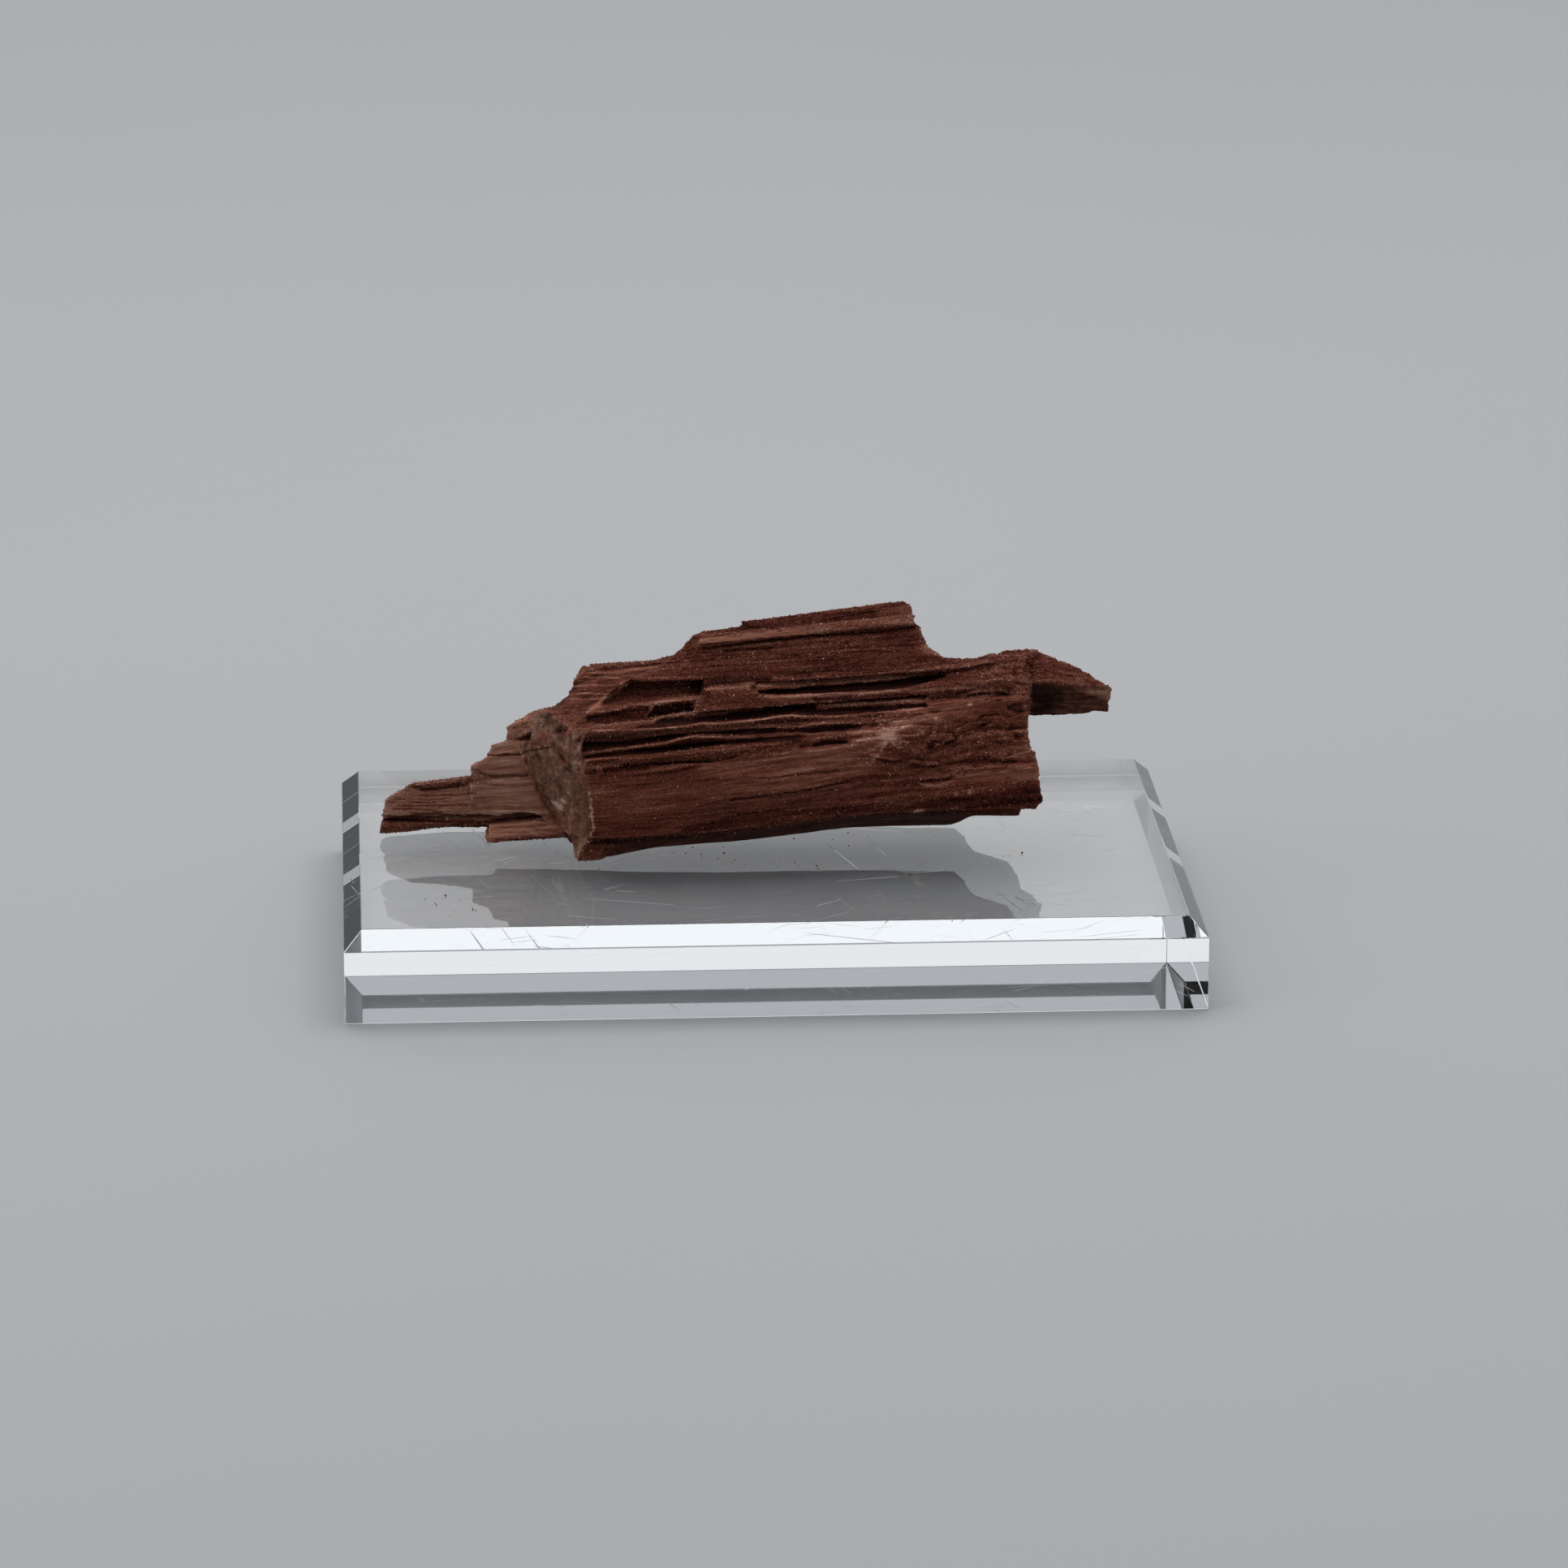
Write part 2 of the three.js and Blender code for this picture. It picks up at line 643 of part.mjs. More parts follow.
const FRACTURE_ROWS = [          // [z, x at the front corner, x at the back corner]
  [-6, -51.2, -58],
  [2, -51.4, -59],
  [9, -48.6, -61.8],
  [15, -47.4, -65.2],
  [20, -46.6, -67.4],
  [25, -46, -68.6],
  [30, -45.4, -68.4],
  [37, -46, -65],
  [60, -48, -50],
];
const FRACTURE_FRONT_Y = -22;
const FRACTURE_BACK_Y = 12.7;
const FRACTURE_COLUMNS = 8;
const FRACTURE_FAR_X = -130;
const FRACTURE_RELIEF = 0.6;
const FRACTURE_SEED = 71;
const ROUGH_SHARE = 0.45;        // the front part of the fracture is rougher than the rest

/** A point on the fracture, or on the far side of what it removes. */
function fracturePoint(row, column, far) {
  const [z, frontX, backX] = FRACTURE_ROWS[row];
  const share = column / FRACTURE_COLUMNS;
  const roughness = share < ROUGH_SHARE ? 1.3 : 0.6;
  const rough = FRACTURE_RELIEF * scatter(FRACTURE_SEED, row, column) * roughness;
  const x = far ? FRACTURE_FAR_X : THREE.MathUtils.lerp(frontX, backX, share) + rough;
  return [x, THREE.MathUtils.lerp(FRACTURE_FRONT_Y, FRACTURE_BACK_Y, share), z];
}

/** Everything to the left of the fracture, in front of the second layer. */
function fractureGeometry() {
  const rows = FRACTURE_ROWS.length - 1;
  const across = FRACTURE_COLUMNS + 1;
  const sheet = (rows + 1) * across;
  const positions = [];
  [false, true].forEach((far) => {
    for (let row = 0; row <= rows; row += 1) {
      for (let column = 0; column < across; column += 1) {
        positions.push(...fracturePoint(row, column, far));
      }
    }
  });
  const indices = [];
  const quad = (a, b, c, d) => indices.push(a, b, c, a, c, d);
  const at = (row, column) => row * across + column;
  for (let row = 0; row < rows; row += 1) {
    for (let column = 0; column < FRACTURE_COLUMNS; column += 1) {
      const corners = [at(row, column), at(row, column + 1), at(row + 1, column + 1), at(row + 1, column)];
      quad(...corners);
      quad(...corners.map((corner) => corner + sheet).reverse());
    }
    const [front, back] = [0, FRACTURE_COLUMNS];
    quad(at(row, front), at(row + 1, front), at(row + 1, front) + sheet, at(row, front) + sheet);
    quad(at(row + 1, back), at(row, back), at(row, back) + sheet, at(row + 1, back) + sheet);
  }
  for (let column = 0; column < FRACTURE_COLUMNS; column += 1) {
    quad(at(0, column + 1), at(0, column), at(0, column) + sheet, at(0, column + 1) + sheet);
    quad(at(rows, column), at(rows, column + 1), at(rows, column + 1) + sheet, at(rows, column) + sheet);
  }
  return closedGeometry(positions, indices);
}

// ---------------------------------------------------------------- pieces

function petrifiedWood() {
  const body = joinLayers([...HEART, ...FRONT, ...MIDDLE]).subtract(toSolid(fractureGeometry()));
  const sides = joinLayers([...UPPER, ...RIGHT, ...LEFT, ...BACK_LEDGES.map(backLayer)]);
  const wood = new THREE.Mesh(
    toGeometry(cutLayers(body.add(sides), CRACKS)),
    new THREE.MeshStandardMaterial({ color: WOOD_COLOUR, roughness: 0.85, metalness: 0 }),
  );
  wood.name = 'petrified_wood';
  wood.position.z = BLOCK_HEIGHT + REST_GAP;
  return wood;
}

/** An upright slice of the block, with its two upper corners bevelled. */
function bevelledSlice(width, length) {
  const half = width / 2;
  const outline = new THREE.Shape([
    new THREE.Vector2(-half, 0),
    new THREE.Vector2(half, 0),
    new THREE.Vector2(half, BLOCK_HEIGHT - BLOCK_BEVEL),
    new THREE.Vector2(half - BLOCK_BEVEL, BLOCK_HEIGHT),
    new THREE.Vector2(-half + BLOCK_BEVEL, BLOCK_HEIGHT),
    new THREE.Vector2(-half, BLOCK_HEIGHT - BLOCK_BEVEL),
  ]);
  const slice = new THREE.ExtrudeGeometry(outline, { depth: length, bevelEnabled: false });
  return slice.translate(0, 0, -length / 2).rotateX(Math.PI / 2);
}

function merged(geometry) {
  geometry.deleteAttribute('normal');
  geometry.deleteAttribute('uv');
  return mergeVertices(geometry);
}

function displayBase() {
  const across = bevelledSlice(BLOCK_LENGTH, 2 * BLOCK_DEPTH);
  const along = bevelledSlice(BLOCK_DEPTH, 2 * BLOCK_LENGTH).rotateZ(Math.PI / 2);
  const block = toSolid(merged(across)).intersect(toSolid(merged(along)));
  const base = new THREE.Mesh(
    toGeometry(block),
    new THREE.MeshStandardMaterial({
      color: ACRYLIC_COLOUR, roughness: 0.05, metalness: 0, transparent: true, opacity: 0.35,
    }),
  );
  base.name = 'display_base';
  return base;
}

const specimen = new THREE.Group();
specimen.add(displayBase(), petrifiedWood());
export default specimen;
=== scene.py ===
"""A weathered piece of petrified wood resting on a bevelled clear acrylic display block.

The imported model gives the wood's main ledges and the block. This script gives the wood its
fine grain, cracks, sugary quartz crust and colours, makes the block from clear acrylic with
worn edges, and strews a few fallen crumbs. Lengths are metres unless a name says otherwise.
"""

import logging
import math
from dataclasses import dataclass, field, replace
from enum import Enum
from functools import cache
from typing import Iterator, Sequence

import bmesh
import bpy
import numpy as np
from mathutils import Euler, Matrix, Vector


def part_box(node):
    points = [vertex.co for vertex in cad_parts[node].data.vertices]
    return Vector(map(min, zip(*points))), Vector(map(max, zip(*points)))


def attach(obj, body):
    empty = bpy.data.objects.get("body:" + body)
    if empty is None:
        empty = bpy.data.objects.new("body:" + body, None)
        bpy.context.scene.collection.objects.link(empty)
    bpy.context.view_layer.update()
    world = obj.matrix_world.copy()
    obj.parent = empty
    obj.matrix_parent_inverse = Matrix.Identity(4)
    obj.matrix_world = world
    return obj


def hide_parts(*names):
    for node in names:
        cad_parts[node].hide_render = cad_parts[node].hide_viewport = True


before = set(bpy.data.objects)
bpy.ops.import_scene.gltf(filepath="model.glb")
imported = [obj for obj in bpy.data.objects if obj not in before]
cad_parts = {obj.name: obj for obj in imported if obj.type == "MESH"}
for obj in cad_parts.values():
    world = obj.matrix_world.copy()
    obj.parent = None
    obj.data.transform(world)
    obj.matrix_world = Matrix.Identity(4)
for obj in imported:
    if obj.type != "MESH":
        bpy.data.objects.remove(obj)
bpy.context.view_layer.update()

logging.basicConfig(level=logging.INFO, format="%(message)s")
LOG = logging.getLogger("petrified_wood")

ROOT_BODY = "root"
WOOD_NODE = "petrified_wood"
BASE_NODE = "display_base"
MM = 0.001
CLEARANCE = 0.02 * MM

Group = bpy.types.NodeTree
Material = bpy.types.Material
Mesh = bpy.types.Mesh
Piece = bpy.types.Object
Socket = bpy.types.NodeSocket
Triple = tuple[float, float, float]
Colour = Triple
Path = tuple[tuple[float, float], ...]


def srgb(*screen: int) -> Colour:
    """Turns a colour given as 0 to 255 on screen into the linear values that shaders take."""
    shares = [part / 255.0 for part in screen]
    return tuple(part / 12.92 if part <= 0.04045 else ((part + 0.055) / 1.055) ** 2.4 for part in shares)


# ---------- noise for shapes

CELL_PRIMES = (73856093, 19349663, 83492791)
SEED_PRIME = 40503
MIXING_FACTORS = (0x2C1B3C6D, 0x297A2D39)


@dataclass(frozen=True)
class GradientNoise:
    """Repeatable smooth noise in space, roughly from -1 to 1."""

    seed: int

    def _gradients(self, cells: np.ndarray) -> np.ndarray:
        """Hashes whole-number cells into pseudo-random vectors.

        Args:
            cells: Cell corners, one row of three integers each.

        Returns:
            One vector a row, each part between -1 and 1.
        """
        mask = np.int64(0xFFFFFFFF)
        x, y, z = (cells[:, axis] * prime for axis, prime in enumerate(CELL_PRIMES))
        mixed = (x ^ y ^ z ^ (self.seed * SEED_PRIME)) & mask
        for factor in MIXING_FACTORS:
            mixed = ((mixed ^ (mixed >> 15)) * factor) & mask
        mixed ^= mixed >> 14
        parts = [(mixed >> shift) & 1023 for shift in (0, 10, 20)]
        return np.stack(parts, axis=1) / 511.5 - 1.0

    def at(self, points: np.ndarray) -> np.ndarray:
        """Samples the noise.

        Args:
            points: Places to sample, one row of three numbers each.

        Returns:
            One value for each row.
        """
        cell = np.floor(points).astype(np.int64)
        inside = points - cell
        ease = inside**3 * (inside * (inside * 6 - 15) + 10)
        total = np.zeros(len(points))
        for corner in np.ndindex(2, 2, 2):
            offset = np.array(corner)
            gradient = self._gradients(cell + offset)
            weight = np.prod(np.where(offset == 1, ease, 1 - ease), axis=1)
            total += weight * np.einsum("ij,ij->i", gradient, inside - offset)
        return np.clip(total * 1.7, -1.5, 1.5)

    def layered(self, points: np.ndarray, octaves: int) -> np.ndarray:
        """Adds finer copies of the noise on top of each other.

        Args:
            points: Places to sample.
            octaves: How many copies, each at twice the pitch and half the height.

        Returns:
            One value for each row.
        """
        total = np.zeros(len(points))
        for octave in range(octaves):
            noise = GradientNoise(self.seed + 101 * octave)
            total += noise.at(points * 2**octave) * 0.5**octave
        return total


def smoothstep(low: float, high: float, values: np.ndarray) -> np.ndarray:
    """Eases from 0 at low to 1 at high; low may be the larger of the two."""
    share = np.clip((values - low) / (high - low), 0.0, 1.0)
    return share * share * (3 - 2 * share)


def within(values: np.ndarray, low: float, high: float, soft: float) -> np.ndarray:
    """A mask that is 1 between low and high and eases to 0 over the soft distance."""
    return smoothstep(low - soft, low, values) * smoothstep(high + soft, high, values)


class MarkKind(Enum):
    """The two ways in which a mark on the stone is laid out."""

    BAND = "band"
    STROKE = "stroke"


# ---------- mesh helpers


def new_object(name: str, mesh: Mesh) -> Piece:
    """Links a new object that holds the mesh, standing at the origin.

    Args:
        name: The object's name.
        mesh: Its mesh.

    Returns:
        The object.
    """
    made = bpy.data.objects.new(name, mesh)
    bpy.context.scene.collection.objects.link(made)
    return made


def object_from_shape(name: str, shape: bmesh.types.BMesh) -> Piece:
    """Turns a finished bmesh into an object and frees it.

    Args:
        name: The name of the object and its mesh.
        shape: The finished shape.

    Returns:
        The object.
    """
    mesh = bpy.data.meshes.new(name)
    shape.to_mesh(mesh)
    shape.free()
    return new_object(name, mesh)


def apply_modifiers(piece: Piece) -> None:
    """Replaces a piece's mesh with what its modifiers make, and removes them.

    Args:
        piece: The piece with its modifiers.
    """
    depsgraph = bpy.context.evaluated_depsgraph_get()
    finished = bpy.data.meshes.new_from_object(piece.evaluated_get(depsgraph))
    finished.name = piece.data.name + "_finished"
    piece.modifiers.clear()
    piece.data = finished


def read_rows(mesh: Mesh, name: str) -> np.ndarray:
    """Reads three numbers a vertex.

    Args:
        mesh: The mesh.
        name: co for places, normal for directions.

    Returns:
        One row a vertex.
    """
    values = np.empty(len(mesh.vertices) * 3)
    mesh.vertices.foreach_get(name, values)
    return values.reshape(-1, 3)


def read_mask(mesh: Mesh, name: str) -> np.ndarray:
    """Reads the numbers that write_mask stored.

    Args:
        mesh: The mesh.
        name: The mask's name.

    Returns:
        One number a vertex.
    """
    values = np.empty(len(mesh.vertices))
    mesh.attributes[name].data.foreach_get("value", values)
    return values


def write_points(mesh: Mesh, points: np.ndarray) -> None:
    """Moves the mesh's vertices to new places."""
    mesh.vertices.foreach_set("co", points.ravel())
    mesh.update()


def write_mask(mesh: Mesh, name: str, values: np.ndarray) -> None:
    """Stores one number a vertex as an attribute that materials can read."""
    attribute = mesh.attributes.new(name, "FLOAT", "POINT")
    attribute.data.foreach_set("value", values.astype(np.float32))


def smoothed(mesh: Mesh, values: np.ndarray, passes: int) -> np.ndarray:
    """Averages values over each vertex's neighbours, several times over.

    Args:
        mesh: The mesh that gives the neighbours.
        values: One row a vertex.
        passes: How many times to average.

    Returns:
        The averaged values.
    """
    pairs = np.empty(len(mesh.edges) * 2, np.int64)
    mesh.edges.foreach_get("vertices", pairs)
    first, second = pairs.reshape(-1, 2).T
    count = len(mesh.vertices)
    degree = np.bincount(first, minlength=count) + np.bincount(second, minlength=count)
    result = values
    for _ in range(passes):
        sums = np.zeros_like(result)
        for axis in range(result.shape[1]):
            sums[:, axis] = np.bincount(first, result[second, axis], count)
            sums[:, axis] += np.bincount(second, result[first, axis], count)
        result = 0.5 * result + 0.5 * sums / np.maximum(degree, 1)[:, None]
    return result


# ---------- the wood's surface


@dataclass(frozen=True)
class FrontView:
    """Lays places out as they line up from a far point in front, a little above.

    Across and up are millimetres on the upright plane through the block's middle.
    """

    eye: Triple = (-114.5, -2118.4, 634.2)

    def flat(self, points: np.ndarray) -> np.ndarray:
        """Where places fall on the plane, one row of across and up each.

        Args:
            points: Places in millimetres.

        Returns:
            One row a place.
        """
        eye = np.array(self.eye)
        ahead = points - eye
        share = -eye[1] / ahead[:, 1]
        return eye[[0, 2]] + ahead[:, [0, 2]] * share[:, None]

    def towards(self, points: np.ndarray) -> np.ndarray:
        """Unit directions from places to the far point."""
        ahead = np.array(self.eye) - points
        return ahead / np.linalg.norm(ahead, axis=1)[:, None]


MOST_WANDER = 3.2
STROKE_REACH = 2.5
STROKE_FALL = 0.9
END_WIDTH = 0.35
LONGEST_TAPER = 3.0
LONGEST_FADE = 3.0


@dataclass(frozen=True)
class Mark:
    """One ledge, hollow, seam or patch on the front of the stone, in the front view.

    The path is the upper edge of a band, or the middle of a stroke that is as wide as given
    to each side. Depth is millimetres into the stone; tone runs from -1 for the darkest
    recess to 1 for the palest chip, and the darkest tones, in cuts and under ledges, are
    painted shade. A share below zero leaves that quality as it was, and
    a patchy mark fades in places.
    """

    path: Path
    lower: Path = ()
    wide: float = 0.0
    depth: float = 0.0
    tone: float = 0.0
    tan: float = -1.0
    grey: float = -1.0
    grit: float = -1.0
    soft: float = 0.3
    patchy: float = 0.0

    def kind(self) -> MarkKind:
        """Whether the mark is a band or a stroke."""
        return MarkKind.BAND if self.lower else MarkKind.STROKE

    def near(self, flat: np.ndarray) -> np.ndarray:
        """Numbers of the places that the mark can reach.

        Args:
            flat: Places in the front view.

        Returns:
            The numbers of their rows.
        """
        corners = np.array(self.path + self.lower)
        margin = STROKE_REACH * self.wide + 3.0 * self.soft + MOST_WANDER
        low, high = corners.min(axis=0) - margin, corners.max(axis=0) + margin
        return np.flatnonzero(np.all((flat > low) & (flat < high), axis=1))

    def band_share(self, flat: np.ndarray) -> np.ndarray:
        """How far places lie inside the band, from 0 to 1.

        Args:
            flat: Places in the front view.

        Returns:
            One share a place.
        """
        top, bottom = np.array(self.path).T, np.array(self.lower).T
        upper = np.interp(flat[:, 0], *top)
        under = np.interp(flat[:, 0], *bottom)
        soft = self.soft
        share = smoothstep(-soft, soft, upper - flat[:, 1]) * smoothstep(-soft, soft, flat[:, 1] - under)
        start, finish = min(top[0][0], bottom[0][0]), max(top[0][-1], bottom[0][-1])
        fade = 3.0 * soft if self.depth else LONGEST_FADE + 3.0 * soft
        return share * within(flat[:, 0], start + 0.3 * fade, finish - 0.3 * fade, fade)

    def stroke_share(self, flat: np.ndarray) -> np.ndarray:
        """How near places lie to the stroke, from 0 to 1, narrowing at both ends.

        Args:
            flat: Places in the front view.

        Returns:
            One share a place.
        """
        corners = np.array(self.path)
        lengths = np.linalg.norm(np.diff(corners, axis=0), axis=1)
        before = np.concatenate([[0.0], np.cumsum(lengths)])
        nearest = np.full(len(flat), np.inf)
        along = np.zeros(len(flat))
        for number, (start, finish) in enumerate(zip(corners[:-1], corners[1:])):
            reach = np.clip((flat - start) @ (finish - start) / lengths[number] ** 2, 0.0, 1.0)
            gap = np.linalg.norm(flat - start - reach[:, None] * (finish - start), axis=1)
            closer = gap < nearest
            nearest = np.where(closer, gap, nearest)
            along = np.where(closer, before[number] + reach * lengths[number], along)
        ends = np.minimum(along, before[-1] - along)
        taper = smoothstep(0.0, min(LONGEST_TAPER, 0.3 * before[-1]), ends)
        wide = self.wide * (END_WIDTH + (1 - END_WIDTH) * taper)
        return np.exp(-((nearest / wide) ** 2) * STROKE_FALL)

    def share(self, flat: np.ndarray) -> np.ndarray:
        """The mark's strength at places in the front view."""
        return self.band_share(flat) if self.kind() is MarkKind.BAND else self.stroke_share(flat)


def alike(*paths: Path, **looks: float) -> tuple[Mark, ...]:
    """Strokes that differ only in their paths."""
    return tuple(Mark(path, **looks) for path in paths)


def sugary(path: Path, lower: Path, **looks: float) -> Mark:
    """A band that the quartz grains cover."""
    return Mark(path, lower, tan=0, grit=1, **looks)


# Borders between the wood's growth layers, from the top down
LAYER_LINES = (
    ((-113, 55), (-67.7, 57.1), (-26.8, 60.4), (-6.8, 63.2), (14.1, 65.2), (41.4, 68.3), (82.4, 72.4),
     (102.9, 74.5)),
    ((-113.1, 47.9), (-67.7, 51.9), (-17.3, 56.5), (14.1, 59.6), (23.2, 60.1), (44.4, 62.4), (82.5, 66.1),
     (103, 68.1)),
    ((-113.3, 39), (-76.9, 41.2), (-54.2, 43.2), (-37.8, 45.8), (-15.9, 47.3), (-1.8, 47.8), (14.1, 48.3),
     (32.4, 49.2), (50.6, 51), (68.9, 54.3), (82.6, 54.7), (103.2, 55.6)),
    ((-113.3, 34.2), (-86.1, 35.5), (-54.2, 36.8), (-44, 39.5), (-15.9, 42.1), (-1.1, 43.8), (14.1, 44),
     (32.4, 44.9), (50.7, 47.2), (68.9, 50.2), (82.6, 48.6), (103.3, 47.3)),
    ((-113.5, 23.6), (-86.1, 30.3), (-67.9, 32.6), (-45.1, 33.4), (-31.5, 33.4), (-16, 34.8), (0.5, 36),
     (7.8, 36.8), (16.4, 35.9), (23.3, 36.1), (37, 37.5), (46.1, 38.8), (59.8, 40.4), (73.6, 41.2),
     (103.3, 41.2)),
    ((-113.6, 17.7), (-86.2, 21.5), (-68, 23.1), (-49.7, 25.9), (-40.6, 27.4), (-26.9, 29.1), (-18.9, 31.1),
     (-1.8, 30.8), (14.2, 31.5), (27.9, 33.6), (37, 35.1), (48.4, 36.4), (59.9, 38.1), (73.6, 38.8),
     (103.4, 37.4)),
    ((-113.6, 14.1), (-86.3, 16.7), (-68, 17.9), (-48, 19.7), (-31.5, 20.8), (-20.1, 22.5), (-7.5, 24.5),
     (5, 25.7), (14.2, 27.2), (27.9, 28.2), (37, 26.6), (48.5, 28.3), (59.9, 32.4), (73.6, 34.1),
     (103.4, 34.3)),
    ((-113.7, 9.8), (-86.4, 9.9), (-68.1, 9.6), (-48, 8.7), (-31.6, 9.4), (-17.9, 10.6), (-8.7, 12.1),
     (5, 13.8), (14.2, 14.8), (21, 16.2), (27.9, 17.2), (37.1, 17.6), (50.8, 18.3), (60, 19.1), (73.7, 20.8),
     (103.5, 23.6)),
    ((-113.7, 7.7), (-86.4, 7.2), (-68.1, 8.1), (-54.5, 4.8), (-48.1, 1.4), (-23.4, 2.4), (-8.7, 4),
     (14.2, 6.5), (27.9, 8.7), (50.9, 11.8), (79.5, 15.4), (103.6, 18.8)),
    ((-113.9, -0.4), (-77.3, 0.4), (-54.5, -3.8), (-40.8, -3.1), (-8.7, -0.3), (14.2, 2.2), (37.1, 3),
     (52, 3.9), (79.6, 7.8), (103.7, 11.7)),
)

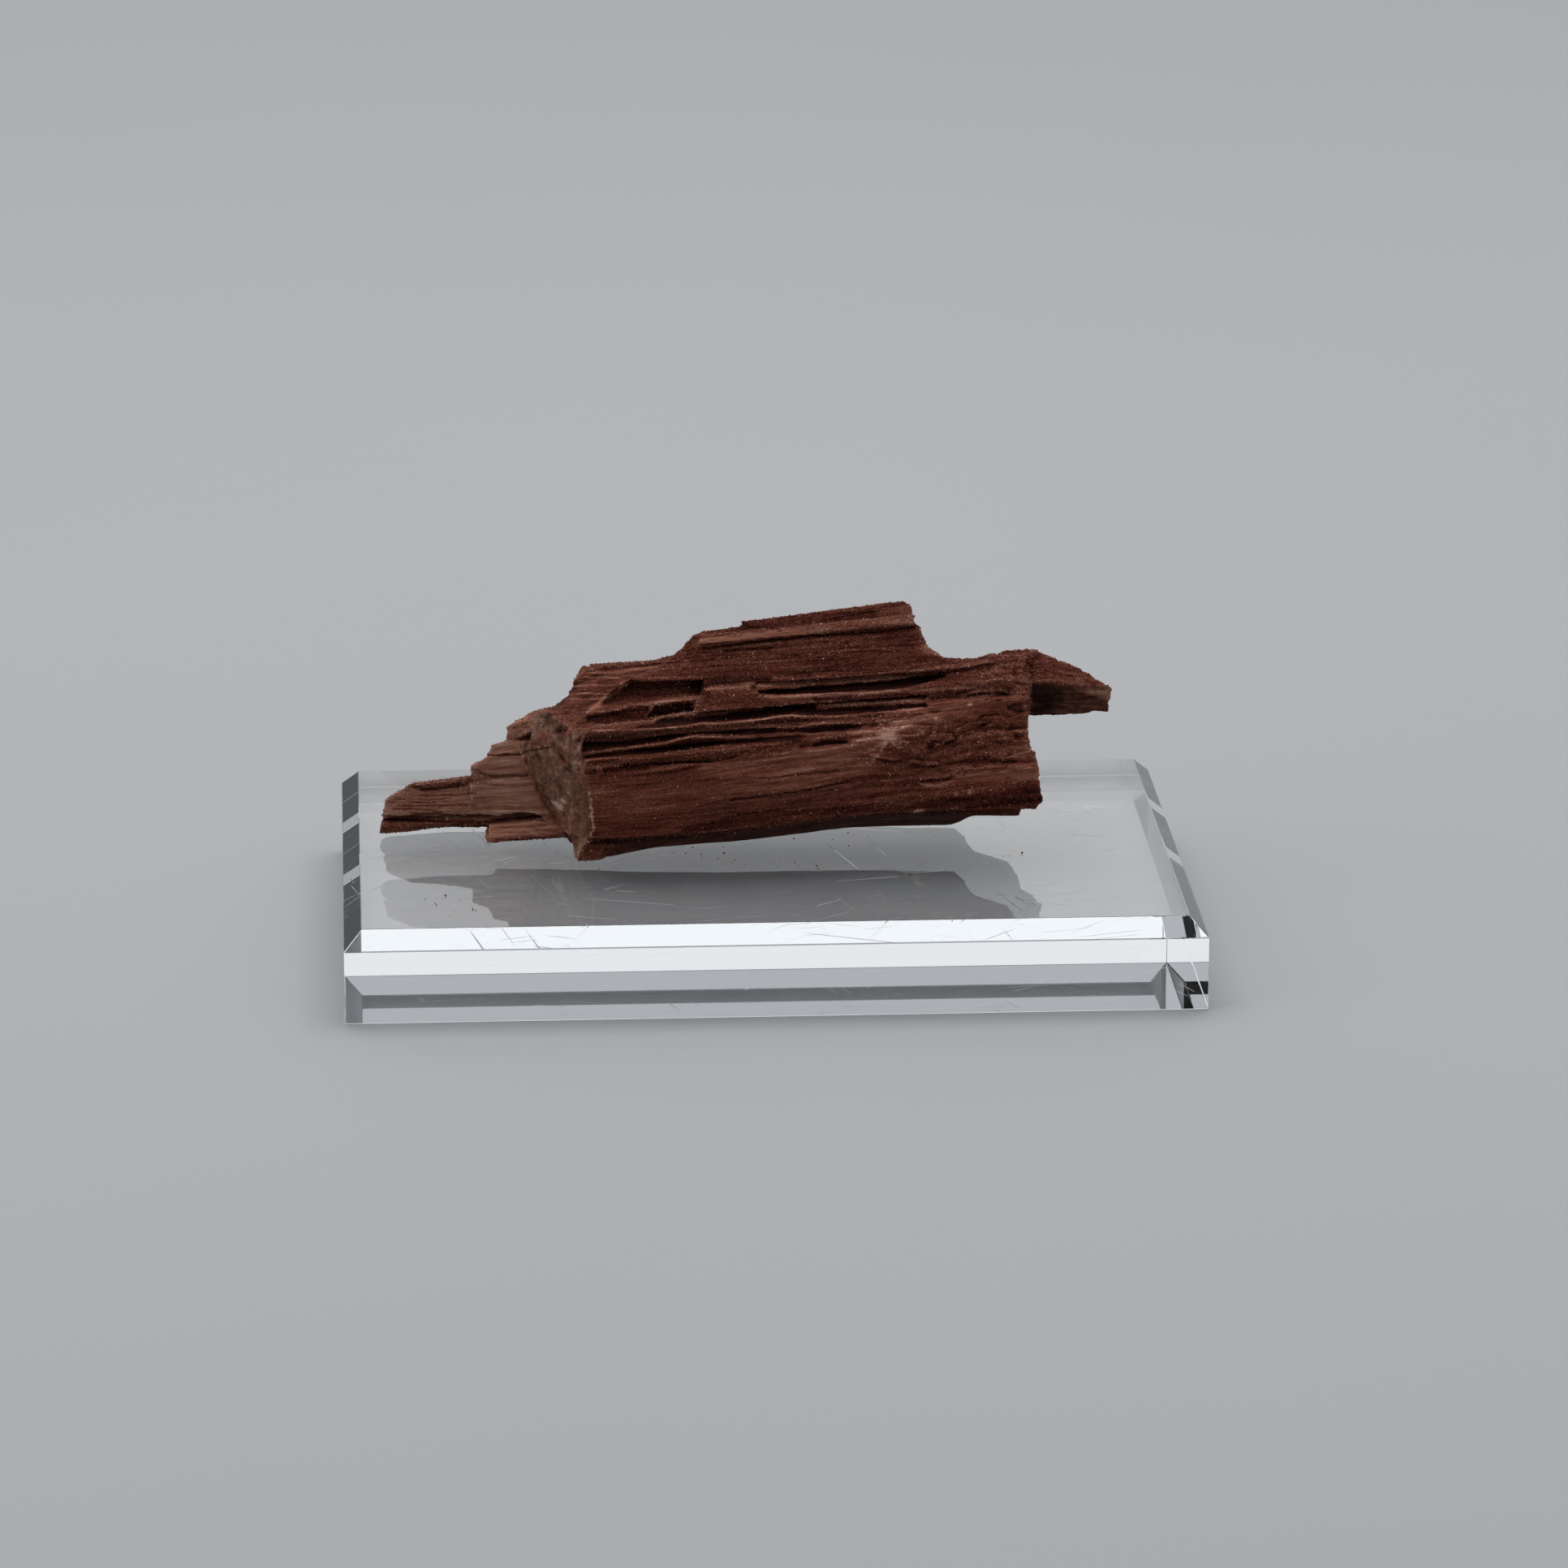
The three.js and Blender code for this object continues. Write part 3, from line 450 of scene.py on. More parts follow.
# A band's upper and lower edge, or a stroke's middle, then its looks
MARKS = (
    # Broad faces of the left layers and the shoulder
    Mark(((-83.5, 23.8), (-76.6, 30.8), (-71.3, 36.4), (-67.9, 38.7), (-67.7, 29.2), (-65.7, 24),
        (-63.5, 18.5), (-60.8, 12), (-59, 8.9)), ((-83.6, 8.1), (-68.1, 8.1), (-60.8, 8.7), (-59, 8.7)),
        tone=0.46, tan=1, grey=0.25, grit=0.12, soft=1),
    Mark(((-76.1, 30.1), (-71.3, 35.2), (-64.4, 40.1), (-54.2, 39.9)), ((-76.1, 29.4), (-67.9, 30.7),
        (-60.6, 32.2), (-54.2, 33.8)), tone=0.2, tan=0.6, grit=0.45, soft=0.8),
    Mark(((-107.7, 15.7), (-104.5, 19.9), (-81.7, 21.9)), ((-107.8, 8.6), (-90.9, 8), (-76.8, 7.8)),
        tone=0.42, tan=0.75, grey=0.15, grit=0.4, soft=0.8),
    sugary(((-101.3, 19.1), (-93.1, 19.5), (-86.2, 20.3), (-81.2, 21.2)), ((-101.8, 17.2), (-93.1, 17.6),
        (-86.3, 17.9), (-81.3, 18.6)), tone=0.02, soft=0.4),
    sugary(((-108.5, 7.6), (-95.5, 7.2), (-76.4, 6.6)), ((-108.6, 2.9), (-76.4, 3.3)), tone=-0.2, grey=0.3,
        soft=0.4),
    Mark(((-77.1, 6.4), (-68.1, 6.9), (-61.5, 7.5), (-53.1, 8.6)), ((-77.1, 1.4), (-68.2, 1.7),
        (-53.1, 2.4)), tone=0.12, tan=1, grey=0.35, grit=0.12, soft=0.5),
    Mark(((-77.1, 2.1), (-68.2, 2.4), (-53.1, 3.1)), ((-77.1, 0.4), (-68.2, 0.3), (-53.1, 1)), tone=-0.45,
        tan=0.3, grit=0.6, soft=0.6),
    Mark(((-59.6, 40.9), (-54.1, 48.9), (-49.5, 54), (-38.2, 53.8), (-31.4, 54.6)), ((-59.7, 37.6),
        (-49.2, 37.9), (-43.9, 41.6), (-39.6, 45.8), (-31.4, 48.5)), tone=-0.42, tan=0.55, grit=0.3,
        soft=0.8),
    Mark(((-59.7, 37.2), (-49.7, 37.9), (-44, 40.7), (-31.4, 41.7), (-15.9, 42.8)), ((-59.7, 35.3),
        (-49.7, 35.1), (-44, 39.7), (-31.4, 40.5), (-15.9, 41.9)), tone=-0.2, tan=0.3, grit=0.6, soft=0.4),
    Mark(((-42.4, 42.1), (-39.4, 42.5), (-31.4, 42.1), (-22.3, 42.2)), ((-44, 39), (-39.4, 40),
        (-31.4, 41.1), (-22.3, 41.9)), tone=-0.4, tan=0.3, grit=0.4, soft=0.5),
    Mark(((-49.1, 52.3), (-40.5, 52.9), (-25.5, 53.4)), ((-49.1, 50.4), (-40.5, 51), (-25.5, 52.2)),
        tone=-0.02, tan=0.4, grit=1, soft=0.5),
    # Front slab
    Mark(((-48.9, 19.7), (-39.5, 20), (-31.5, 20.8), (-24.7, 21.2), (-20.1, 22.5), (-7.5, 24.5), (5, 25.9),
        (14.2, 27.4), (23.3, 28), (29, 29.3), (35.9, 30.6)), ((-49, 1.4), (-23.4, 2.4), (-21.3, 4.2),
        (-17.4, 5.1), (-13.3, 6), (-9.9, 6.9), (-7.6, 8.1), (0.4, 8.6), (14.2, 9.1), (23.3, 9.9),
        (35.9, 14.2)), tone=-0.3, tan=0.1, grit=0.62, soft=0.5),
    Mark(((-15.5, 23.2), (-7.5, 24), (5, 25.4), (14.2, 27), (23.3, 27.5), (32.5, 28.6)), ((-15.6, 15.1),
        (-1.8, 14.4), (5, 15.2), (14.2, 16), (22.2, 17.8), (32.5, 20.5)), tone=0.08, tan=0.4, grit=0.38,
        soft=1.6),
    Mark(((-47.1, 17.5), (-31.5, 19.2), (-13.3, 20.3)), ((-47.1, 9), (-31.6, 10.1), (-13.3, 11.3)),
        tone=-0.12, tan=0.2, grit=0.58, soft=2),
    Mark(((-16.5, 10.8), (-8.7, 11.9), (5, 13.3), (21, 15.7), (30.2, 17.7)), ((-16.5, 8.4), (0.4, 9.4),
        (14.2, 10.1), (30.2, 13.4)), tone=-0.38, grey=0.3, grit=0.4, soft=1),
    Mark(((-13.3, 14.1), (-8.7, 14), (5, 15.2), (16.5, 16.5)), ((-13.3, 12.2), (-8.7, 12.6), (5, 14),
        (16.5, 15.5)), grey=0.15, soft=0.5),
    sugary(((-23.8, 2.6), (-21.3, 4.2), (-17.4, 5.1), (-13.3, 6), (-9.9, 6.9), (-7.6, 8.1), (0.4, 8.6),
        (14.2, 9.1), (23.3, 9.9), (32.5, 10.5), (41.7, 9.9), (48.6, 11.4), (52.2, 12.1)), ((-23.8, 1.4),
        (-17.9, 1.3), (-8.7, 2.4), (0.4, 3.6), (14.2, 4.8), (23.4, 5.6), (27.9, 7), (37.1, 7.1),
        (52.3, 7.5)), depth=0.8, tone=-0.42, soft=0.25),
    # Painted shadow line under the front slab's lower edge
    sugary(((-48.1, 1.4), (-40.8, 1.2), (-31.6, 1.8), (-22.9, 2.6)), ((-48.1, -0.1), (-40.8, -0.2),
        (-31.6, 0.6), (-22.9, 1.4)), depth=0.5, tone=-0.7),
    # Right part
    sugary(((48.6, 11.2), (55.4, 12.7), (64.6, 13.8), (80.2, 15.6)), ((48.6, 7.6), (60.1, 7.4), (73.4, 7.2),
        (80.3, 7.3)), tone=-0.5, soft=0.5),
    Mark(((25.6, 11.6), (37.1, 13.7), (46.2, 15), (55.4, 16.8), (66.9, 18), (80.2, 19.2)), ((25.6, 10.6),
        (41.7, 10.3), (48.6, 11.6), (64.6, 13.8), (80.2, 15.6)), tone=-0.1, grit=0.9, soft=0.6),
    Mark(((41.6, 39.8), (48.4, 40.6), (57.5, 41.2), (65.5, 41.8), (74, 40.7)), ((37, 35.6), (48.4, 34.9),
        (59.9, 36.2), (65.6, 38), (74.1, 36)), tone=-0.16, tan=0.35, grit=0.35, soft=1),
    Mark(((37, 35.1), (43.8, 37.4), (51.9, 35.8)), ((37, 32.5), (43.9, 34.1), (51.9, 34.4)), tone=0.3,
        tan=0.5, grit=0.3, soft=1),
    Mark(((77.2, 44.9), (82.7, 44.8), (91.8, 44), (99.6, 43.6)), ((77.3, 35.4), (82.8, 35.1), (91.9, 35.4),
        (99.7, 35.5)), tone=-0.5, grey=0.8, grit=0.03, soft=0.5),
    # Painted shadow that the front slab's right end casts on the root of the tongue face
    Mark(((77, 44.9), (79.7, 44.9), (82.7, 43.9)), ((77, 35.4), (79.8, 35.4), (82.8, 35.8)), tone=-0.9,
        grey=0.8, soft=1.2),
    Mark(((91.4, 43.5), (94.6, 43.4), (99.6, 43.6)), ((91.4, 41.4), (94.6, 40.4), (99.7, 38.9)), tone=0.25,
        grey=0.7, soft=0.6),
    Mark(((82.7, 37.7), (91.9, 37.6), (99.7, 37.9)), ((82.8, 36.3), (91.9, 36.1), (99.7, 36)), tone=-0.5,
        grey=0.6, soft=0.5),
    Mark(((66.6, 54.3), (74.6, 56.1), (82.6, 53.3), (91.8, 48.5)), ((66.6, 49.8), (74.7, 45.9), (82.7, 45.8),
        (91.8, 44.7)), tone=-0.15, grit=1, soft=1.2),
    # Upper slope
    Mark(((-17.7, 59.4), (-8.6, 60.4), (5, 61.6), (16.4, 62.6)), ((-17.3, 57), (-8.6, 57.8), (5, 59.4),
        (16.4, 60.2)), tone=0.1, tan=0.8, grit=0.04, soft=0.35),
    Mark(((11.9, 62.4), (23.2, 63.7), (42.8, 65.7)), ((11.9, 60.1), (23.2, 61.1), (43.7, 62.7)), tone=0.2,
        tan=0.1, grit=0.8, soft=0.5),
    Mark(((-6.8, 64.1), (5, 64.9), (14.1, 65.9), (32.3, 68)), ((-6.8, 61.8), (5, 61.8), (14.1, 63.1),
        (32.3, 64.7)), tone=-0.35, grit=1, soft=0.4),
    Mark(((33.2, 67.3), (36.9, 67.7), (43.2, 69)), ((33.2, 65.4), (36.9, 65.6), (43.7, 65.9)), tone=0.05,
        tan=0.3, grit=0.7, soft=0.6),
    Mark(((46.3, 57.2), (48.3, 56.2), (50.2, 53.8)), ((46.3, 53.9), (48.3, 53.6), (50.2, 53.4)), tone=0.42,
        tan=0.6, grit=0.4, soft=0.4),
    Mark(((42.9, 53.7), (50.2, 53.6)), ((42.9, 51.8), (50.6, 51.9)), tone=-0.45, grit=1, soft=0.5),
    Mark(((-15.5, 49.7), (0.5, 51.3), (14.1, 49.7)), ((-15.5, 48), (-1.8, 47.3), (14.1, 47.8)), tone=-0.35,
        grit=1, soft=1),
    sugary(((0.5, 46.4), (14.1, 47.1), (23.3, 47.4), (32.4, 47.7), (43.8, 48.5), (50.6, 49.1)), ((0.5, 44.7),
        (14.1, 45.2), (23.3, 46), (32.4, 46.6), (43.8, 47.6), (50.6, 48.2)), tone=0.2, soft=0.4, patchy=0.6),
    # Hollows and deep cracks under the ledges; their dark tones are painted shade from the ledges above
    sugary(((-42.4, 42.5), (-39.4, 45.8), (-37.3, 47.2), (-33.7, 47.8), (-26.9, 48), (-15.5, 48.3)),
        ((-42.4, 42.1), (-31.4, 41.9), (-22.3, 42.2), (-15.7, 42.8))),
    sugary(((-43, 42.1), (-39.4, 44.2), (-31.4, 44.5), (-20, 44.6), (-15.7, 44.7)), ((-43, 41.6),
        (-39.4, 41.8), (-31.4, 41.9), (-22.3, 42.5), (-15.7, 43.3)), tone=-0.15),
    sugary(((-19.6, 47.9), (-15.5, 47.8)), ((-19.6, 41.9), (-15.7, 42.6)), tone=-0.6, soft=0.4),
    sugary(((-16.4, 48), (-8.6, 48.2), (2.7, 48)), ((-16.4, 45.7), (-8.6, 46), (2.7, 47)), depth=1.4,
        tone=-0.85),
    sugary(((-49, 37.5), (-44.2, 38.4), (-41, 39.1), (-36.5, 39.6), (-33.7, 39.9), (-31.7, 40)),
        ((-49.2, 35.3), (-44.2, 35.3), (-39, 35.5), (-34.9, 35.9), (-32.1, 36.2)), depth=0.7, tone=-0.5),
    sugary(((-31.7, 37.7), (-30.8, 39.2), (-29.4, 40.1), (-27.3, 40.3), (-23.9, 40.7), (-21.2, 41),
        (-19.1, 40.8)), ((-31.7, 36.6), (-30.1, 36.4), (-28.7, 37), (-26.4, 37.3), (-22.6, 38.2),
        (-19.4, 38.6)), depth=1.3, tone=-0.75, soft=0.25),
    Mark(((-36.5, 33.9), (-31.5, 34.6), (-28.7, 35.9), (-22.3, 36.6), (-13.2, 37.1), (-4.1, 38.2), (5, 39.2),
        (10.7, 39.8), (15.1, 39.7)), ((-36.5, 33.5), (-31.5, 33.6), (-22.4, 34), (-16, 34.8), (-8.7, 35.2),
        (0.5, 36), (7.8, 36.8), (11.9, 36.7), (15.1, 36.7)), depth=1.8, tone=-0.88, tan=0, grit=0.8,
        soft=0.25),
    Mark(((14.2, 38.3), (21, 38.5), (32.4, 38.8), (39.3, 39.4), (46.6, 39.5)), ((14.2, 36.7), (23.3, 36.5),
        (27.9, 36.9), (32.4, 37.3), (39.3, 37.9), (46.6, 38.5)), depth=2, tone=-0.95, tan=0, grit=0.5,
        soft=0.22),
    Mark(((-1.1, 44), (2.7, 44.4), (9.6, 44.6), (14.1, 45), (23.3, 45.5), (32.4, 46.1), (39.2, 46.9),
        (46.1, 47.5), (52, 47.8)), ((-1.1, 43.3), (5, 42.7), (14.1, 42.9), (23.3, 43.3), (32.4, 43.4),
        (39.3, 44), (46.1, 45.4), (52, 47.5)), depth=3.6, tone=-1, tan=0, grit=0.2, soft=0.22),
    sugary(((14.4, 41.9), (18.7, 42.3), (27.8, 42.1), (37, 42.5), (48.4, 42.8), (59.1, 43.5)), ((14.8, 40.7),
        (23.3, 40.6), (32.4, 40.6), (41.5, 41), (50.7, 41.3), (59.1, 42.4)), depth=0.35, tone=-0.65,
        soft=0.25),
    Mark(((-48.8, 32.5), (-40.6, 32.8), (-31.5, 32.9), (-20.1, 33.7), (-8.7, 34.2), (5, 35.9), (14.2, 35.5),
        (27.9, 35.7), (43.4, 36.9)), ((-49.3, 29.4), (-40.6, 29.5), (-31.5, 30.8), (-22.4, 31.6),
        (-13.2, 32.1), (-4.1, 32.7), (10.7, 33.4), (27.9, 34.8), (37, 35.1), (43.4, 36.2)), tone=-0.2, tan=0,
        grey=0.3, grit=0.9, soft=0.4),
    sugary(((-49.5, 31.6), (-40.6, 31.8), (-33.8, 32)), ((-49.5, 29.4), (-40.6, 29.5), (-33.8, 30.6)),
        tone=-0.42, soft=0.5),
    Mark(((-49.7, 29.9), (-40.6, 29.8), (-31.5, 31), (-22.4, 31.8), (-13.2, 32.4), (-4.1, 32.9),
        (3.9, 33.1)), ((-50.2, 26.8), (-45.2, 27.5), (-40.6, 28.1), (-31.5, 29.1), (-24.6, 30.2),
        (-20.1, 31.5), (-8.7, 31.4), (-1.8, 31.3), (3.9, 31.6)), depth=2.6, tone=-1, tan=0, grit=0.45,
        soft=0.25),
    Mark(((2.7, 32.8), (11.4, 32.9), (14.2, 33.6), (23.3, 33.9), (27.9, 33.6)), ((2.7, 31.4), (10.7, 32),
        (14.2, 31.7), (21, 31.8), (27.9, 32.4)), depth=1.2, tone=-0.85, tan=0, grit=0.8, soft=0.25),
    Mark(((-49.3, 25.9), (-40.6, 27.1), (-31.5, 28.4), (-22.4, 30.2), (-18.9, 30.8), (-8.7, 30.4),
        (-1.8, 30.3), (10.7, 31)), ((-49.3, 24.2), (-40.6, 25), (-31.5, 25.8), (-22.4, 27.1), (-8.7, 28.5),
        (10.7, 29.2)), tone=-0.9, grit=0.45, soft=0.4),
    Mark(((-38.4, 23.1), (-31.5, 23.4), (-22.4, 23.8), (-13.3, 23.8), (-6.9, 24.9)), ((-38.4, 22.6),
        (-31.5, 22.7), (-22.4, 23.1), (-13.3, 23.1), (-6.9, 24.5)), depth=1, tone=-0.9, tan=0, grit=0.6,
        soft=0.2),
    sugary(((-47.9, 22.3), (-38.4, 22.6), (-31.5, 22.7), (-22.4, 23.1), (-13.3, 23.1), (0.5, 26.5),
        (14.2, 28.6)), ((-48, 19.9), (-39.5, 20.5), (-31.5, 20.8), (-24.7, 21.2), (-20.1, 22.5),
        (-7.5, 24.2), (14.2, 27.4)), depth=-1, tone=-0.25),
    Mark(((14.6, 28.1), (16.9, 29.1), (23.3, 29.4), (28.3, 30.8)), ((14.6, 27.2), (16.9, 27.6), (23.3, 28.2),
        (28.3, 29.6)), depth=0.9, tone=-0.7, tan=0, grit=0.7, soft=0.25),
    # Bright edges: raised pale rims of ledges and faces, their paleness a painted highlight where the rims
    # catch the light
    Mark(((-47.4, 33.2), (-40.6, 33.2), (-31.5, 33.3), (-26.9, 33.4), (-20.1, 34.3), (-16, 34.7),
        (-11, 34.6), (-4.1, 35.2), (0.5, 35.8), (5, 36.5), (8.4, 36.8), (11.9, 36.4), (16.4, 35.9),
        (23.3, 36.1), (27.9, 36.5), (32.4, 36.9), (37, 37.5), (45.2, 38.3)), wide=0.28, depth=-0.25,
        tone=0.5, grit=0.3),
    Mark(((-50.2, 25.6), (-47.5, 26.8), (-44, 27), (-41.8, 27.5), (-38.3, 27.6), (-36.1, 28.3),
        (-31.5, 28.5), (-26.9, 29.1), (-24.6, 29.7), (-21.2, 30.5), (-18.9, 30.9), (-13.2, 30.6),
        (-8.7, 30.5), (-1.8, 30.4)), wide=0.34, depth=-0.25, tone=0.45, grit=0.3),
    Mark(((0, 30.5), (5, 30.8), (10.7, 31.4), (12.3, 31.1), (16.4, 31.2), (23.3, 31.7), (27.9, 32.7),
        (35.2, 32.8)), wide=0.34, depth=-0.2, tone=0.35, grit=0.3),
    Mark(((-50.4, 24.5), (-45.2, 25.1), (-39.5, 25.5), (-31.5, 25.8), (-22.4, 26.8), (-13.2, 27.9),
        (-7.5, 28.5)), wide=0.3, depth=-0.15, tone=0.25),
    Mark(((-50, 22.3), (-45.2, 22.8), (-39.3, 23.1)), wide=0.4, depth=-0.3, tone=0.32),
    Mark(((-1.1, 42.5), (5, 42), (14.1, 42.4), (27.8, 42.7), (37, 43.2), (50.7, 43.6), (60.3, 44.1)),
        wide=0.5, depth=-0.4, tone=0.55, tan=0.5, grit=0.2, patchy=0.3),
    Mark(((14.8, 40.1), (23.3, 39.8), (32.4, 39.9), (41.6, 40.4), (51.8, 40.8)), wide=0.45, depth=-0.2,
        tone=0.38, tan=0.3),
    Mark(((10.7, 33.1), (14.2, 34), (23.3, 34.3), (30.1, 34.2), (37, 35.1)), wide=0.26, depth=-0.2,
        tone=0.3),
    Mark(((-15.7, 44.7), (-8.6, 45.1), (0.5, 45.8), (14.1, 46.3), (23.3, 46.7), (32.4, 47.1), (41.5, 47.5)),
        wide=0.55, depth=-0.1, tone=0.36, tan=0.5, grit=0.3),
    Mark(((-38.2, 47.2), (-39.8, 44.6), (-42.3, 43), (-44.9, 41.3), (-47.4, 39.6), (-49.2, 38.3)), wide=0.7,
        tone=0.52, tan=0.8, grit=0.25),
    Mark(((-48.3, 38.2), (-45.1, 38.5), (-40.5, 39.4), (-33.7, 40.5), (-26.9, 41.5), (-20, 42.2),
        (-15.9, 42.8)), wide=0.4, depth=-0.15, tone=0.36, tan=0.3),
    Mark(((-50.1, 33.7), (-44, 34.7), (-40.6, 35), (-31.5, 35.6), (-28.7, 36.7), (-22.3, 37.6),
        (-18.2, 38.1)), wide=0.42, depth=-0.2, tone=0.34, tan=0.3),
    Mark(((44.4, 15.8), (50.8, 15.9), (55.4, 17.8), (62.3, 18.4), (66.9, 19.1), (73.7, 20), (79.7, 19.9)),
        wide=0.6, depth=-0.3, tone=0.5, tan=0.5, grit=0.1),
    Mark(((33.6, 17.3), (39.4, 17.5), (43.9, 17.9), (52, 18.3), (54.5, 19.2), (56.5, 20.9), (63.4, 21.6),
        (74.2, 21.5)), wide=0.25, depth=-0.2, tone=0.3),
    Mark(((56.9, 40.7), (58.7, 42.5), (61.6, 43.1), (69, 43.4)), wide=0.35, depth=-0.25, tone=0.4, tan=0.3),
    Mark(((14.1, 47.8), (27.8, 48.5), (39.2, 48.8), (55.2, 50), (64.8, 51.2)), wide=0.3, depth=-0.2,
        tone=0.25),
    Mark(((-49.7, 32.7), (-50.6, 30.4), (-51.6, 28), (-52.5, 25.4)), wide=0.3, depth=-0.2, tone=0.7,
        grey=0.6, grit=0.1),
    Mark(((-48.5, 14.9), (-47.8, 11.8), (-47.8, 8.3), (-47.6, 4.7), (-47.9, 1.3)), wide=0.32, depth=-0.15,
        tone=0.75, grey=0.6, grit=0.1),
    Mark(((0.4, 25.3), (14.2, 26.2), (23.3, 27.3)), wide=0.3, tone=0.42, tan=0.4),
    # Dark lines and cracks; the dark tone inside the cut cracks is painted shade
    Mark(((-9.2, 12.1), (-4.1, 12.6), (0.4, 13.2), (5, 13.7), (14.2, 14.8), (21, 16.2), (25.6, 17.1)),
        wide=0.2, depth=0.7, tone=-0.9),
    Mark(((-23.3, 18.1), (-13.3, 18), (-1.8, 18.2), (14.2, 19.6), (22.6, 20.6)), wide=0.2, depth=0.35,
        tone=-0.45),
    Mark(((-37, 15.9), (-31.6, 17), (-22.4, 17.6), (-8.7, 17.4), (5, 16.7)), wide=0.5, tone=-0.15, grit=0.5),
    Mark(((-45.3, 7.5), (-31.6, 8.7), (-17.9, 10.1), (-8.7, 11.2)), wide=0.35, depth=0.2, tone=-0.3),
    Mark(((-27, 8.1), (-17.9, 8.5), (-8.7, 8.8), (5, 10), (16.5, 10.8)), wide=0.3, tone=-0.35, grit=0.8),
    Mark(((-17.3, 56.5), (-8.6, 57.3), (0.5, 58.4), (14.1, 59.6), (23.2, 60.1), (32.3, 60.5), (38, 61.3),
        (44.6, 62.3)), wide=0.34, depth=0.9, tone=-0.8, tan=0),
    Mark(((-6.8, 62.8), (-1.8, 62.4), (3.2, 62.1), (5.9, 61.4)), wide=0.25, depth=0.4, tone=-0.6),
    Mark(((18.7, 64.4), (25.5, 65.5), (33.7, 66.8)), wide=0.22, depth=0.3, tone=-0.5),
    Mark(((-13.2, 53.6), (-4.1, 54), (5, 54.7), (10.7, 54)), wide=0.25, depth=0.3, tone=-0.4),
    Mark(((-8.6, 56.2), (4.6, 56.2)), wide=0.22, depth=0.3, tone=-0.4),
    Mark(((16.4, 47.3), (23.3, 48.4), (32.4, 48.7), (36.9, 49.3)), wide=0.22, depth=0.5, tone=-0.6),
    Mark(((21, 48.9), (32.4, 49.4), (43.8, 49.9), (50.6, 50.5)), wide=0.22, depth=0.4, tone=-0.4),
    Mark(((41.5, 50.2), (55.2, 51.4), (62, 52.2), (67.1, 52.6)), wide=0.25, depth=0.5, tone=-0.45),
    Mark(((48.4, 48), (57.5, 49.5), (64.3, 50.8), (71.2, 51.4)), wide=0.3, depth=0.6, tone=-0.45),
    Mark(((-40, 51.2), (-33.7, 51.6), (-26.8, 52.3), (-13.2, 53.4)), wide=0.35, depth=0.5, tone=-0.5),
    Mark(((-62.4, 37.4), (-58.8, 37.8), (-54.2, 38), (-49.2, 37.9)), wide=0.3, depth=0.4, tone=-0.35),
    Mark(((-81.7, 22.4), (-79.4, 21.6), (-77.6, 20.6), (-74.9, 20.2), (-70.3, 20.4), (-64.1, 20.4)),
        wide=0.42, tone=-0.45, grey=0.9),
    Mark(((-79, 18.5), (-74.9, 17.7), (-68.1, 17.4), (-62.6, 18)), wide=0.4, grey=0.7),
    Mark(((-77.6, 22.3), (-71.4, 22.7), (-64.6, 22.8)), wide=0.25, tone=0.1, grey=0.6),
    Mark(((-76.6, 26.3), (-72.5, 26.4), (-67.7, 26.6), (-65.7, 27.4), (-62.3, 28), (-58.4, 28.6)), wide=0.16,
        depth=0.5, tone=-0.8),
    Mark(((-98.6, 17.7), (-95.4, 16.9), (-90.8, 16.9), (-87.2, 17.6), (-82.6, 18.1)), wide=0.6, depth=0.7,
        tone=-0.45, tan=0, grit=1),
    Mark(((-97.2, 14.9), (-87.2, 15), (-80.4, 15.3)), wide=0.25, depth=0.3, tone=-0.3),
    Mark(((-105.5, 11.2), (-97.7, 11), (-89.8, 10.2)), wide=0.22, depth=0.3, tone=-0.3),
    Mark(((-100.7, 8.9), (-95.5, 9.5), (-89.1, 9.9)), wide=0.28, depth=0.4, tone=-0.55),
    Mark(((-100, 13.2), (-93.2, 12.6), (-87.2, 13)), wide=0.2, depth=0.2, tone=-0.15),
    Mark(((-107.1, 8.1), (-102.3, 8), (-95.1, 7.5), (-87.3, 7), (-76.8, 7), (-68.1, 7.9), (-61.1, 8.5)),
        wide=0.5, depth=1.1, tone=-0.92, tan=0),
    Mark(((-39.3, 22.6), (-37.9, 22.8), (-36.8, 23.5)), wide=0.5, depth=0.8, tone=-0.8),
    Mark(((-50.2, 23.6), (-45.2, 24), (-39.3, 24.5)), wide=0.25, depth=0.5, tone=-0.6),
    Mark(((-48.6, 25.5), (-40.6, 26.2), (-31.5, 27)), wide=0.18, depth=0.3, tone=-0.35),
    Mark(((44.9, 16.7), (48.5, 17), (52.7, 17.3), (55.2, 18.4)), wide=0.4, depth=0.7, tone=-0.7),
    Mark(((41.2, 21.5), (48.5, 21.2), (55.4, 21.9), (62.3, 22.8), (69.1, 22.3), (74.6, 21.9)), wide=0.45,
        depth=0.7, tone=-0.6),
    Mark(((65.3, 41.5), (67.8, 41.9), (69.9, 41.8)), wide=0.55, depth=1.1, tone=-0.95),
    Mark(((46.8, 37.2), (48.4, 37.1), (50.3, 37.4)), wide=0.42, depth=0.7, tone=-0.8),
    Mark(((50.9, 10.9), (60, 11.5), (69.2, 12.5), (79.8, 13.5)), wide=0.45, depth=0.6, tone=-0.75),
    Mark(((57.8, 8.9), (66.9, 9.7), (79.8, 10.4)), wide=0.35, depth=0.5, tone=-0.75),
    Mark(((27.9, 12), (34.8, 13.3), (41.7, 14.1), (48.5, 14.5)), wide=0.4, depth=0.4, tone=-0.45, grit=1),
    Mark(((31.8, 27.1), (28.3, 23.9), (25.2, 21.3), (23.3, 18.7)), wide=0.8, depth=0.2, tone=-0.12),
    Mark(((33.4, 23.8), (31.3, 21.5), (28.4, 19.8)), wide=0.5, depth=0.15, tone=0.05),
